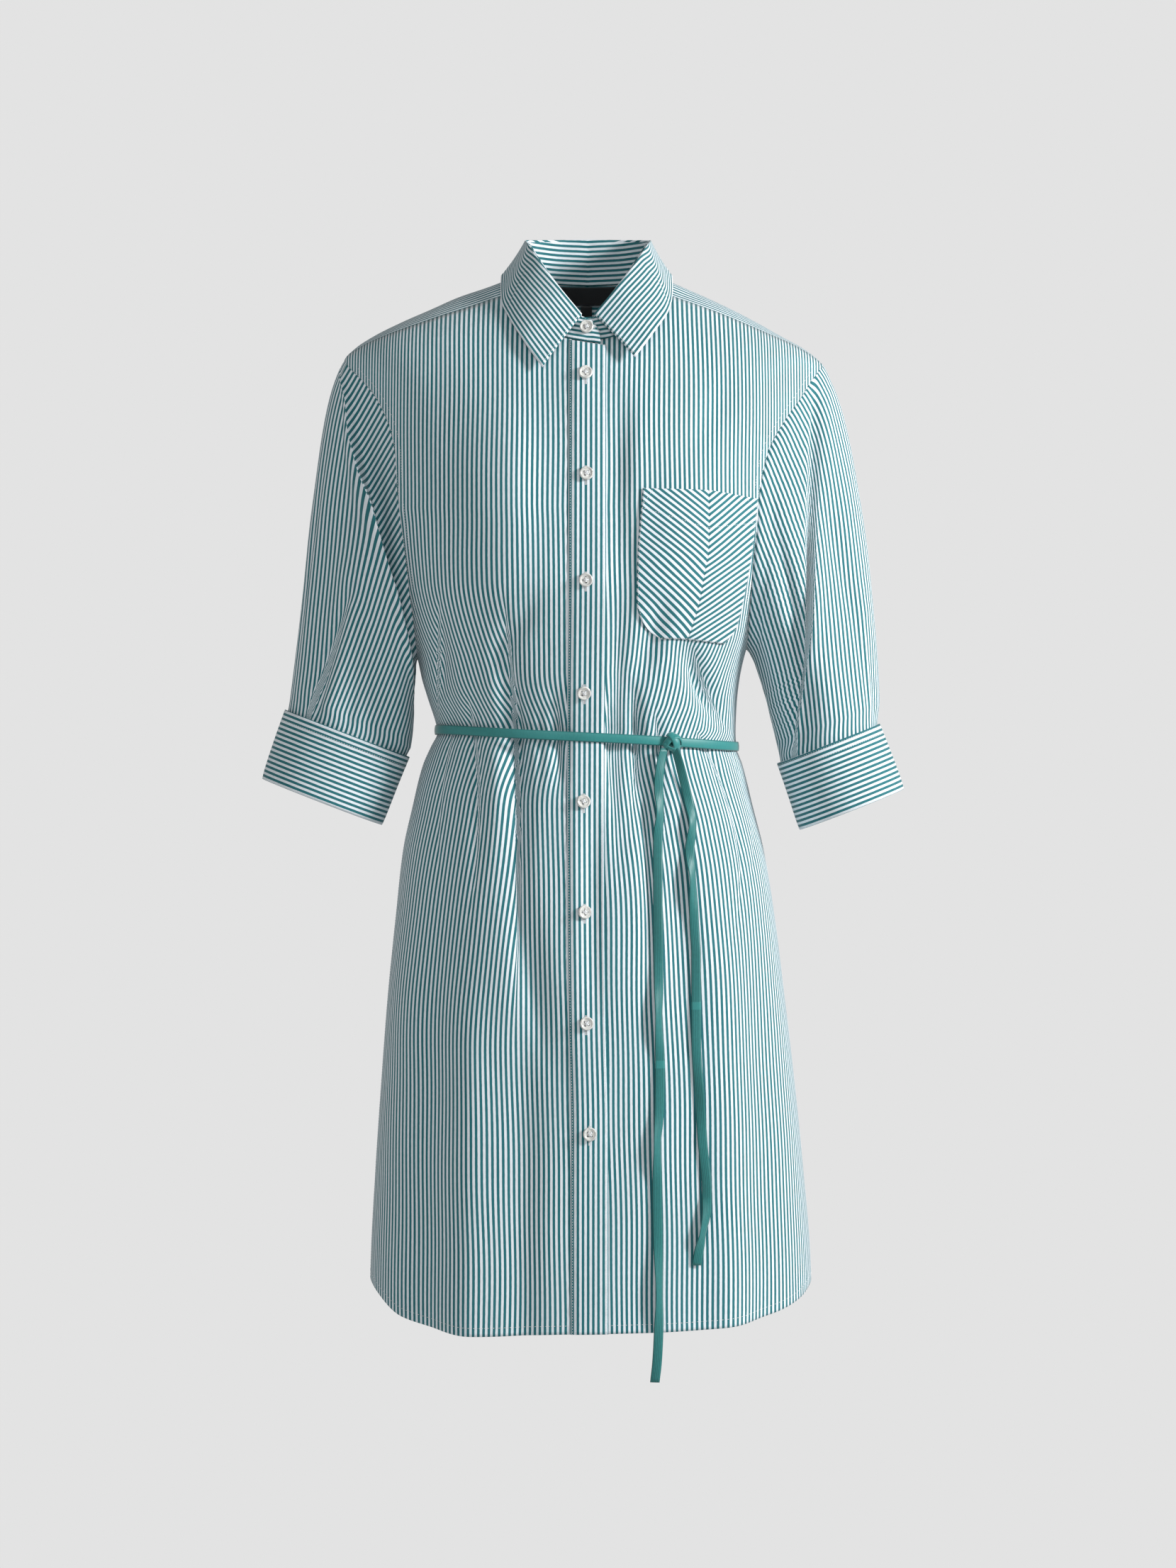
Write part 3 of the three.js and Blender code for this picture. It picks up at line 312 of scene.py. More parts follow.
def body(turn, z, lift=0.0):
    """Point of the body's outer face at an angle and height, moved out by lift."""
    turn, z = np.broadcast_arrays(np.asarray(turn, float), np.asarray(z, float))
    middle, half, front, back_depth, power = section(z)
    x, y = outline(turn, z)
    behind = np.abs(turn) > 90
    depth = np.where(y < 0, front, back_depth)
    out = np.clip(np.abs((x - middle) / half), 0, 1)
    away = lift + (fold_height(x, z, behind) + ripple(x, z, behind)) * (1 - out ** 6)
    nx = np.sign(x - middle) * out ** (power - 1) / half
    ny = np.sign(y) * np.abs(y / depth) ** (power - 1) / depth
    n = np.maximum(np.hypot(nx, ny), 1e-9)
    return np.stack([x + nx / n * away, y + ny / n * away, z], -1)


def arm_edge(arm, z, back):
    """Angle of the armhole's edge, or of the side seam below it, at a height."""
    a = ARMHOLE[arm]
    _, _, front, back_depth, power = section(z)
    c = np.clip((2 * z - a["top"] - a["bottom"]) / (a["top"] - a["bottom"]), -1, 1)
    y = a["half"] * np.sqrt(1 - c * c) * np.where(back, 0.95, 1)
    cs = np.clip((y / np.where(back, back_depth, front)) ** (power / 2), 0, 1)
    t = np.degrees(np.arccos(cs))
    return a["sign"] * np.where(back, 180 - t, t)


def neck_spot(k, sign):
    """Angle, height and place across of the neck seam, on one side."""
    x = sign * read(NECK, "k", "x", k)
    z = read(NECK, "k", "z", k)
    return turn_at(x, z, k > 0.52), z, x


def neck_point(k, sign):
    """Point of the neck seam: on the body in front, and on the seam's own line behind."""
    turn, z, x = neck_spot(k, sign)
    on_front = body(turn, z)
    corner_turn, corner_z, _ = neck_spot(NECK_CORNER, sign)
    step = body(corner_turn, corner_z)[1] - read(NECK, "k", "y", NECK_CORNER)
    y = read(NECK, "k", "y", k) + step * (1 - np.clip((k - NECK_CORNER) / 0.2, 0, 1))
    return np.where(k <= NECK_CORNER, on_front.T, np.stack([x, y, z])).T


def shoulder_seam(arm, t):
    """Front shoulder seam from the neck (0) to the armhole (1), as an angle and a height."""
    turn, z, _ = neck_spot(NECK_CORNER, ARMHOLE[arm]["sign"])
    end = ARMHOLE[arm]["shoulder"]
    level = mix(z, end, t) + ARMHOLE[arm]["bow"] * np.sin(np.pi * t)
    return mix(turn, arm_edge(arm, end, False), t ** 0.8), level


def row_height(height, x, view):
    """Rows lean with the tie near the waist, and follow the hem's curve below."""
    lean = (tie_height(x) - WAIST) * np.exp(-(((height - WAIST) / 55) ** 2))
    low = np.clip((-560 - height) / 308, 0, 1) ** 2 * (read(HEM, "x", view, x) - BODY_BOTTOM)
    return height + lean + low


# Arc length round the plain sections, from the front middle (and the back middle) to any angle.
ARC_STEP = 4.0
ARC_Z = np.arange(-904, 20, ARC_STEP)
ARC_TURN = np.linspace(0, 180, 361)
ARC = {
    side: running(np.stack(outline(side * ARC_TURN[None, :], ARC_Z[:, None]), -1))
    for side in (-1, 1)
}


def arc_length(turn, z):
    """Distance round a section from the front middle line, signed as X is."""
    side = np.where(turn < 0, -1, 1)
    i = np.clip((z - ARC_Z[0]) / ARC_STEP, 0, len(ARC_Z) - 1.001)
    j = np.clip(np.abs(turn) * 2, 0, 359.999)
    i0, j0 = i.astype(int), j.astype(int)
    u, v = i - i0, j - j0
    found = np.zeros(np.shape(turn))
    for s in (-1, 1):
        a = ARC[s]
        value = mix(mix(a[i0, j0], a[i0, j0 + 1], v), mix(a[i0 + 1, j0], a[i0 + 1, j0 + 1], v), u)
        found = np.where(side == s, value, found)
    whole = [mix(ARC[s][i0, -1], ARC[s][i0 + 1, -1], u) for s in (-1, 1)]
    return side * found, side * (found - np.where(side < 0, *whole))


# The front's stripes stay upright above this height, and follow the body's waist below it.
UPRIGHT_ABOVE = -190.0


def fabric(turn, z, x, back):
    """Place on the flat cloth: across the stripes from the middle line, and along them."""
    front_way, back_way = arc_length(turn, z)
    across = back_way if back else front_way
    if not back:
        low = np.minimum(z, UPRIGHT_ABOVE)
        middle, half = section(low)[:2]
        inner = np.clip(x, middle - 0.9 * half, middle + 0.9 * half)
        straight = arc_length(turn_at(inner, low, False), low)[0] + 1.7 * (x - inner)
        across = mix(across, straight, smooth((z - UPRIGHT_ABOVE + 50) / 60))
    for f in each_fold():
        if not f["lap"] or back != (f["side"] == BACK):
            continue
        line, peak = fold_line(f, z)
        way = math.copysign(1, f["x1"]) * (-1 if back else 1)
        width = 0.3 if f["near"] + f["far"] < 13 else 1.6
        beyond = math.copysign(1, f["x1"]) * (x - line) / width
        passed = 1 / (1 + np.exp(np.clip(-beyond, -60, 60)))
        across = across + way * f["lap"] * passed * peak
    wobble = 0.3 * np.sin(z / 19 + x / 33) + 0.22 * np.sin(z / 41 - x / 17 + 1)
    return np.stack([across + wobble, z + 0 * across], -1)


def solid_cloth(name, points, flat, thick, finish, loop=False):
    """A layer of cloth through rows of points, with its flat cloth places as its UV map."""
    rows, cols = points.shape[:2]
    count = cols - 1 if loop else cols
    verts = (points[:, :count] * MM).reshape(-1, 3)
    i, j = np.meshgrid(np.arange(rows - 1), np.arange(cols - 1), indexing="ij")
    corners = [(i, j), (i + 1, j), (i + 1, j + 1), (i, j + 1)]
    faces = np.stack([a * count + b % count for a, b in corners], -1).reshape(-1, 4)
    uv = np.stack([flat[a, b] * MM for a, b in corners], 2).reshape(-1, 2)
    mesh = bpy.data.meshes.new(name)
    mesh.from_pydata(verts.tolist(), [], faces.tolist())
    mesh.uv_layers.new(name="flat_cloth").data.foreach_set("uv", uv.ravel())
    mesh.shade_smooth()
    mesh.materials.append(finish)
    piece = put(name, mesh)
    wall = piece.modifiers.new("thickness", "SOLIDIFY")
    wall.thickness = thick * MM
    wall.offset = -1
    return piece


def add(tree, kind, values=None, **settings):
    """A node with its settings, and its inputs as numbers, colours or links."""
    made = tree.nodes.new(kind)
    for key, value in settings.items():
        setattr(made, key, value)
    for key, value in (values or {}).items():
        if isinstance(value, bpy.types.NodeSocket):
            tree.links.new(value, made.inputs[key])
        else:
            made.inputs[key].default_value = value
    return made


def sums(tree, kind, *values):
    """Result of one sum of numbers or links."""
    return add(tree, "ShaderNodeMath", dict(enumerate(values)), operation=kind).outputs[0]


def noise(tree, scale, detail, place=None, **more):
    """Soft noise, over the object's own places unless others are given."""
    if place is None:
        place = add(tree, "ShaderNodeTexCoord").outputs["Object"]
    values = {"Vector": place, "Scale": scale, "Detail": detail} | more
    return add(tree, "ShaderNodeTexNoise", values).outputs[0]


def blend(tree, share, one, other):
    """A colour between two, a share of the way."""
    return add(tree, "ShaderNodeMix", {0: share, 6: one, 7: other}, data_type="RGBA").outputs[2]


def raised(tree, shader, height, strength):
    """The shader's surface raised by a height in metres."""
    bump = add(tree, "ShaderNodeBump", {"Height": height, "Strength": strength, "Distance": 1.0})
    tree.links.new(bump.outputs[0], shader.inputs["Normal"])


def new_finish(name, settings):
    """A material with its shader's fixed settings, and its node tree and shader."""
    finish = bpy.data.materials.new(name)
    finish.use_nodes = True
    shader = finish.node_tree.nodes["Principled BSDF"]
    for label, value in settings.items():
        shader.inputs[label].default_value = value
    return finish, finish.node_tree, shader


def flat_place(tree):
    """Places across and along the flat cloth, in metres."""
    flat = add(tree, "ShaderNodeUVMap", uv_map="flat_cloth")
    split = add(tree, "ShaderNodeSeparateXYZ", {0: flat.outputs[0]})
    return split.outputs[0], split.outputs[1]


def shirting(name, white, teal):
    """Plain-weave cotton with an even yarn-dyed stripe; it reads the flat cloth in metres."""
    finish, tree, shader = new_finish(name, {
        "Roughness": 0.78, "Specular IOR Level": 0.25, "Sheen Weight": 0.15})
    across, along = flat_place(tree)
    yarns = add(tree, "ShaderNodeCombineXYZ", {0: sums(tree, "MULTIPLY", across, 2600.0),
                                                1: sums(tree, "MULTIPLY", along, 240.0)})
    slub = noise(tree, 1.0, 2.0, yarns.outputs[0])
    uneven = sums(tree, "MULTIPLY_ADD", slub, 0.0003, -0.00015)
    place = sums(tree, "DIVIDE", sums(tree, "ADD", across, uneven), STRIPE * MM)
    from_edge = sums(tree, "ABSOLUTE", sums(tree, "SUBTRACT", sums(tree, "FRACT", place), 0.5))
    stripe = add(tree, "ShaderNodeMapRange", {0: from_edge, 1: 0.222, 2: 0.268},
                 interpolation_type="SMOOTHSTEP")
    warp = sums(tree, "SINE", sums(tree, "MULTIPLY", across, 2 * math.pi / YARN))
    weft = sums(tree, "SINE", sums(tree, "MULTIPLY", along, 2 * math.pi / YARN))
    weave = sums(tree, "MULTIPLY", warp, weft)
    worn = sums(tree, "MULTIPLY_ADD", slub, 0.3, 0.85)
    thread = sums(tree, "MULTIPLY", worn, sums(tree, "MULTIPLY_ADD", weave, 0.06, 0.97))
    dyed = blend(tree, stripe.outputs[0], white, teal)
    colour = add(tree, "ShaderNodeVectorMath", {0: dyed, "Scale": thread}, operation="SCALE")
    tree.links.new(colour.outputs[0], shader.inputs["Base Color"])
    soft = sums(tree, "MULTIPLY", noise(tree, 42.0, 3.0), 0.0011)
    raised(tree, shader, sums(tree, "MULTIPLY_ADD", weave, 0.00002, soft), 0.7)
    return finish


# Distance from stripe to stripe, in millimetres, and from yarn to yarn, in metres.
STRIPE = 4.2
YARN = 0.00042
striped = shirting("striped_cotton", (0.80, 0.87, 0.92, 1), (0.02, 0.165, 0.19, 1))

# Thickness of one layer of shirting, and the pieces' points, kept by name for the sewing.
CLOTH = 0.5
laid = {}
for arm in ("left", "right"):
    sign = ARMHOLE[arm]["sign"]
    inset = -(BAND_HALF - 3) if arm == "left" else -UNDERLAP
    height = np.linspace(BODY_TOP, BODY_BOTTOM, 262)[:, None]
    stops = NECK_STOPS[arm]
    at_neck = len(stops) - 1
    place = np.linspace(0, at_neck + 8, 90)
    k = np.interp(place, np.arange(len(stops)), stops)
    neck_turn, neck_z, _ = neck_spot(np.abs(k), np.where(k < 0, -sign, sign))
    seam_turn, seam_z = shoulder_seam(arm, np.clip((place - at_neck) / 8, 0, 1))
    top_turn = np.where(place < at_neck, neck_turn, seam_turn)
    top_z = np.where(place < at_neck, neck_z, seam_z)
    fade = np.clip((BODY_TOP - height) / 250, 0, 1)
    level = height + (top_z - BODY_TOP) * (1 - fade) ** 2
    start = turn_at(read(FRONT_EDGE, "z", "x", level) + inset, level, False)
    end = arm_edge(arm, level, False)
    top_share = (top_turn - top_turn[0]) / (top_turn[-1] - top_turn[0])
    share = mix(top_share, place / place[-1], smooth((BODY_TOP - height) / 130))
    turn = mix(start, end, share)
    turn = turn + (top_turn - turn[0]) * (1 - smooth((BODY_TOP - height) / 70))
    z = row_height(level, outline(turn, level)[0], "front")
    z[0] = top_z
    turn[:, -1] = arm_edge(arm, z[:, -1], False)
    x = outline(turn, z)[0]
    # Near the top the rows keep the spacing of the neck and shoulder edge.
    even = (x[0] - x[0, 0]) / (x[0, -1] - x[0, 0])
    near_top = turn_at(mix(x[:, :1], x[:, -1:], even), z, False)
    turn = mix(near_top, turn, smooth((BODY_TOP - height - 15) / 70))
    points = body(turn, z)
    flat = fabric(turn, z, points[..., 0], False)
    if arm == "left":
        points, flat = points[:, ::-1], flat[:, ::-1]
    name = "front_" + arm
    panel = solid_cloth(name + "_panel", points, flat, CLOTH, striped)
    laid[name] = points
    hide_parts(name)
    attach(panel, "root")

# Back panel: one width of the same cloth from the yoke seam to the hem, a little deeper
# behind than the front.
BACK_SEAM = -98
height = np.linspace(BACK_SEAM, BODY_BOTTOM, 250)[:, None]
sides = arm_edge("right", height, True), 360 + arm_edge("left", height, True)
near = mix(*sides, np.linspace(0, 1, 150))
turn = np.where(near > 180, near - 360, near)
z = row_height(height, outline(turn, height)[0], "back")
turn[:, 0] = arm_edge("right", z[:, 0], True)
turn[:, -1] = arm_edge("left", z[:, -1], True)
points = body(turn, z)
laid["back"] = points
flat = fabric(turn, z, points[..., 0], True)
panel = solid_cloth("back_panel", points, flat, CLOTH, striped)
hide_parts("back")
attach(panel, "root")

# Yoke: one piece of the shirting over both shoulders, from the front seams to the back seam,
# with its stripes along the shoulders.
STRAP_END = 0.66


def yoke_side(arm, strap=46, behind=60, rings=44):
    """One half of the yoke, from the neck seam out to its other edges, and its flat cloth."""
    a = ARMHOLE[arm]
    t = np.linspace(0, 1, strap)
    half = (a["top"] - a["bottom"]) / 2
    middle = (a["top"] + a["bottom"]) / 2
    first = np.degrees(np.arccos((a["shoulder"] - middle) / half))
    last = -np.degrees(np.arccos((BACK_SEAM - middle) / half))
    angle = mix(first, last, t)
    z = middle + half * np.cos(np.radians(angle))
    turn = arm_edge(arm, z, angle < 0)
    right, left = arm_edge("right", BACK_SEAM, True), arm_edge("left", BACK_SEAM, True) + 360
    s = np.linspace(0, 1, behind)[1:]
    rest = mix(right, left, s / 2) if a["sign"] > 0 else mix(left, right, s / 2) - 360
    k = np.concatenate([mix(NECK_CORNER, STRAP_END, t), mix(STRAP_END, 1, s)])
    turn = np.concatenate([turn, rest])
    z = np.concatenate([z, np.full(len(s), float(BACK_SEAM))])
    bow = np.concatenate([1 - t, 0 * s])
    spot_turn, spot_z, _ = neck_spot(k, a["sign"])
    at_90 = float(np.interp(0.9, k, spot_turn))
    middle_way = mix(at_90, 180 * a["sign"], np.clip((k - 0.9) / 0.1, 0, 1))
    spot_turn = np.where(k > 0.9, middle_way, spot_turn)
    r = np.linspace(0, 1, rings)[:, None]
    exact = neck_point(k, a["sign"])
    lift = exact - body(spot_turn, spot_z)
    way = mix(spot_turn, turn, r ** mix(1, 0.8, bow))
    level = mix(spot_z, z, r) + a["bow"] * np.sin(np.pi * r) * bow
    points = body(way, level) + lift * ((1 - r) ** 2)[..., None]
    from_front = np.minimum(running(points), 170)
    share = smooth((np.concatenate([t, 1 + s]) - 0.45) / 0.75)
    flat = mix(from_front, 72 - points[..., 2], share)
    return points, np.stack([flat, points[..., 0]], -1)


right, left = yoke_side("right"), yoke_side("left")
points, flat = (np.concatenate([a, b[:, ::-1][:, 1:]], 1) for a, b in zip(right, left))
laid["yoke"] = points
yoke = solid_cloth("yoke_piece", points, flat, CLOTH, striped)
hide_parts("yoke")
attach(yoke, "root")

# Button band: a folded strip sewn over the left front edge, stitched down both of its long
# edges, and a little drawn up between its buttons by the thread.
BAND_LIFT = 2.4
BAND_EDGE_LIFT = 1.0
DOUBLED = 1.3
height = np.linspace(BODY_TOP, BODY_BOTTOM, 290)[:, None]
across = np.linspace(-1, 1, 21)
z = row_height(height, across * BAND_HALF, "front")
top = mix(-50.4, -55.4, (across + 1) / 2)
z = z + (top - BODY_TOP) * (1 - smooth((BODY_TOP - height) / 26))
x = read(FRONT_EDGE, "z", "x", z) + across * BAND_HALF
pucker = 0.22 * np.sin(z / 2.6 + 1.5 * np.sin(z / 37)) * np.abs(across) ** 3 - 0.35 * across ** 8
lift = mix(BAND_EDGE_LIFT, BAND_LIFT, smooth((across + 1) / 0.45))
points = body(turn_at(x, z, False), z, lift + pucker)
laid["band"] = points
flat = np.stack([across * BAND_HALF + STRIPE / 4 + 0 * z, z], -1)
band = solid_cloth("button_band_strip", points, flat, DOUBLED, striped)
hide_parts("button_band")
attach(band, "root")

# Neck band: a stiffened strip of two layers that stands round the neck, sewn to the fronts and
# the yoke, with its overlap and one button at the front.
FOLD_LINE = columns("k x y z", [
    (0, 5, -76, -28.5), (0.12, 23.5, -66, -5), (0.25, 41.5, -42, 21.5), (0.4, 51, -12, 38),
    (0.55, 53.5, 13, 43.8), (0.72, 44, 38, 47.3), (0.88, 20, 49.5, 49), (1, 0, 51.5, 49.6),
])
BAND_OVER = columns("s xt yt zt xl yl zl", [
    (0, 2.5, -76.3, -33.5, 5, -82.6, -52.4), (1, 9.5, -78.8, -42, 10.3, -83.6, -53.2),
])
BAND_UNDER = columns("s xt yt zt xl yl zl", [
    (0, -4, -71.4, -31, -6, -77.6, -50.3), (1, -12, -69, -30.5, -13, -75, -49.4),
])


def ring(table, k, sign):
    """Points of one side of a line round the neck."""
    x, y, z = (read(table, "k", c, k) for c in "xyz")
    return np.stack([sign * x, y, z], -1)


def outwards(p):
    """Level direction away from the neck's middle."""
    way = p * [1, 1, 0] + [0, 8, 0]
    return way / np.linalg.norm(way, axis=-1, keepdims=True)


def band_columns(k, sign, rings):
    """One side of the neck band, from its fold line down to the neck seam."""
    fold = ring(FOLD_LINE, k, sign)
    top = fold - 2.4 * outwards(fold) - [0, 0, 2]
    low = neck_point(k, sign)
    shift = (-1.3 if sign < 0 else 1) * (1 - smooth(k / 0.16))
    low[:, 2] += np.maximum(0, shift)
    move = np.stack([0 * k, shift, 0 * k], -1)
    return mix(top[None], low[None], rings[:, None, None]) + move


def band_end(table, rings):
    """The band's end at the front, which laps over or under the other one."""
    s = np.linspace(0, 1, 9)
    top = np.stack([read(table, "s", c, s) for c in ("xt", "yt", "zt")], -1)
    low = np.stack([read(table, "s", c, s) for c in ("xl", "yl", "zl")], -1)
    return mix(top[None], low[None], rings[:, None, None])


rings = np.linspace(0, 1, 18)
k = np.linspace(0, 1, 90)
points = np.concatenate([
    band_end(BAND_UNDER, rings)[:, ::-1], band_columns(k, 1, rings),
    band_columns(k[:-1], -1, rings)[:, ::-1], band_end(BAND_OVER, rings),
], 1)
laid["neck_band"] = points


def edge_flat(points, offset=0.0):
    """Flat cloth of a strip whose stripes run along it, measured from its last row."""
    return np.stack([running(points[::-1], 0)[::-1] + offset, running(points)], -1)


stand = solid_cloth("neck_band_strip", points, edge_flat(points), DOUBLED, striped)
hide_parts("neck_band")
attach(stand, "root")

# Collar leaf: two layers of shirting turned down over the neck band, pointed at the front,
# with its stripes along its free edge.
LEAF_EDGE = columns("k left right y zl zr", [
    (0, -37.7, 38.9, -95, -74.5, -66), (0.12, -52.5, 53.5, -86, -53, -46),
    (0.25, -65.5, 67, -67, -31, -25), (0.4, -72.5, 70.5, -47, -14, -11),
    (0.48, -73.5, 71.2, -28, 1, 2), (0.56, -73.5, 71.2, -3, 12, 12),
    (0.64, -70, 68, 21, 12.5, 12.5), (0.72, -61, 59, 44, 9.5, 9.5),
    (0.88, -31, 30, 66, 3, 3), (1, 0, 0, 71, 2.5, 2.5),
])


def leaf_columns(k, sign):
    """One side of the collar leaf, from the fold line to its free edge, a little rounded."""
    fold = ring(FOLD_LINE, k, sign)
    side, height = ("left", "zl") if sign < 0 else ("right", "zr")
    edge = np.stack([read(LEAF_EDGE, "k", c, k) for c in (side, "y", height)], -1)
    r = np.linspace(0, 1, 30)[:, None, None]
    p = mix(fold[None], edge[None], r)
    swell = np.where(k > 0.3, -1.2, 1.6)[:, None]
    return p + outwards(p) * swell * np.sin(np.pi * np.clip(r, 0, 1)) ** 0.8


points = np.concatenate([leaf_columns(k, 1), leaf_columns(k[:-1], -1)[:, ::-1]], 1)
laid["collar"] = points
leaf = solid_cloth("collar_leaf", points, edge_flat(points, 1.3), DOUBLED, striped)
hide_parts("collar")
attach(leaf, "root")

# Sleeves: wide tubes cut along the stripe, joined under the arm, sewn into the armholes and
# pleated into their turned cuffs. Angle 0 is the outer side, 90 the front, 180 under the arm.
SLEEVE = {
    "left": {
        "out": (-25.5, -34.5), "in": (-3, -7), "lean": (-0.17, -0.14), "end": (90, 40),
        "top": (-203.7, -375.1), "low": (-225, -433), "half": (56.5, 55), "deep": (40, 41),
        "rise": 0.356,
    },
    "right": {
        "out": (23, -34), "in": (9, -7), "lean": (0.03, 0.2), "end": (90, 40),
        "top": (203.4, -383.8), "low": (223.2, -439.3), "half": (46.6, 48), "deep": (48, 48.5),
        "rise": 0.361,
    },
}
LEFT_ARM, RIGHT_ARM = -1, 1
SLEEVE_FOLDS = columns("arm at turn start end wide high", [
    (LEFT_ARM, 40, 10, 0, 0.9, 14, -4), (LEFT_ARM, 74, 4, 0.1, 1.05, 14, 3),
    (LEFT_ARM, 118, -6, 0.3, 1.05, 13, -4), (LEFT_ARM, 232, 8, 0.15, 1.05, 15, -4),
    (LEFT_ARM, 300, -8, 0, 0.85, 15, -3), (LEFT_ARM, 180, 0, 0.5, 1.3, 34, 3.5),
    (LEFT_ARM, 72, -20, 0.5, 1.25, 5, -4.5), (LEFT_ARM, 84, -20, 0.5, 1.25, 7, 2),
    (LEFT_ARM, 24, -4, 0.25, 0.85, 4, -1.8), (LEFT_ARM, 96, -8, 0.6, 1.3, 5, -2.2),
    (LEFT_ARM, 262, 6, 0.5, 1.25, 5, -3), (LEFT_ARM, 330, 5, 0.5, 1.25, 5, -2.6),
    (RIGHT_ARM, 0, 0, 0.1, 1.2, 50, 3.8),
    (RIGHT_ARM, 46, 8, 0, 1.05, 13, -4), (RIGHT_ARM, 82, 4, 0.1, 1, 14, 3),
    (RIGHT_ARM, 128, -4, 0.25, 1.05, 14, -4), (RIGHT_ARM, 225, 8, 0.2, 1.05, 15, -4),
    (RIGHT_ARM, 296, -10, 0, 0.9, 16, -3), (RIGHT_ARM, 84, 44, 0.1, 1.2, 9, -4),
    (RIGHT_ARM, 52, -22, 0.35, 1.2, 6, -2.6), (RIGHT_ARM, 30, -6, 0.7, 1.25, 4, -2.4),
    (RIGHT_ARM, 258, 8, 0.5, 1.25, 5, -3), (RIGHT_ARM, 326, 4, 0.55, 1.25, 5, -2.6),
])
# Cloth that each pleat at the cuff takes up, and how far up the sleeve it still shows.
PLEATS = columns("arm at start lap", [
    (LEFT_ARM, -60, 0.5, 16), (LEFT_ARM, -110, 0.5, 10), (RIGHT_ARM, 26, 0.6, 8),
    (RIGHT_ARM, -50, 0.5, 14), (RIGHT_ARM, -104, 0.5, 10),
])
# The big fold of each sleeve: on the left it hangs over the armhole, at a share of the length
# for each angle, with the cloth behind it tucked in by deep; on the right it runs slantwise.
TUCK = columns("a share deep", [
    (0, 0.05, 0), (15, 0.08, 1), (27, 0.13, 6), (39, 0.26, 12), (57, 0.33, 18), (82, 0.32, 21),
    (113, 0.31, 21), (145, 0.39, 15), (180, 0.6, 0),
])
SLANT = {
    "left": columns("t a", [(0, 82), (0.5, 76), (0.58, 72), (0.79, 63), (0.96, 53), (1, 51)]),
    "right": columns("t a", [
        (0, 28), (0.13, 37), (0.33, 55), (0.61, 92), (0.71, 113), (0.84, 131), (1, 140),
    ]),
}
# How far the left fold hangs over what is tucked in behind it.
OVERHANG = columns("share shift", [
    (0, 0), (0.74, 0), (0.9, 0.1), (1.0, -0.12), (1.12, -0.04), (1.3, 0), (9, 0),
])
FULL_TUCK = 17
# Place of the row that lies on the left fold's edge, and the small step down to the next one.
EDGE_ROW = 0.3
EDGE_STEP = 0.0003
CUFF_CLOTH = 1.6


def cuff_point(arm, a, s, less=0.0):
    """Point of a cuff at an angle and a share of its height."""
    c, sign = SLEEVE[arm], ARMHOLE[arm]["sign"]
    a, s = np.broadcast_arrays(a, s)
    half = mix(*c["half"], s) - less
    deep = mix(*c["deep"], s) - less
    across = np.array([sign * math.sqrt(1 - c["rise"] ** 2), 0, c["rise"]])
    x, z = (mix(c["top"][i], c["low"][i], s) for i in (0, 1))
    middle = np.stack([x, 0 * s, z], -1)
    cs, sn = np.cos(np.radians(a)), np.sin(np.radians(a))
    return middle + (half * cs)[..., None] * across + np.stack([0 * cs, -deep * sn, 0 * cs], -1)


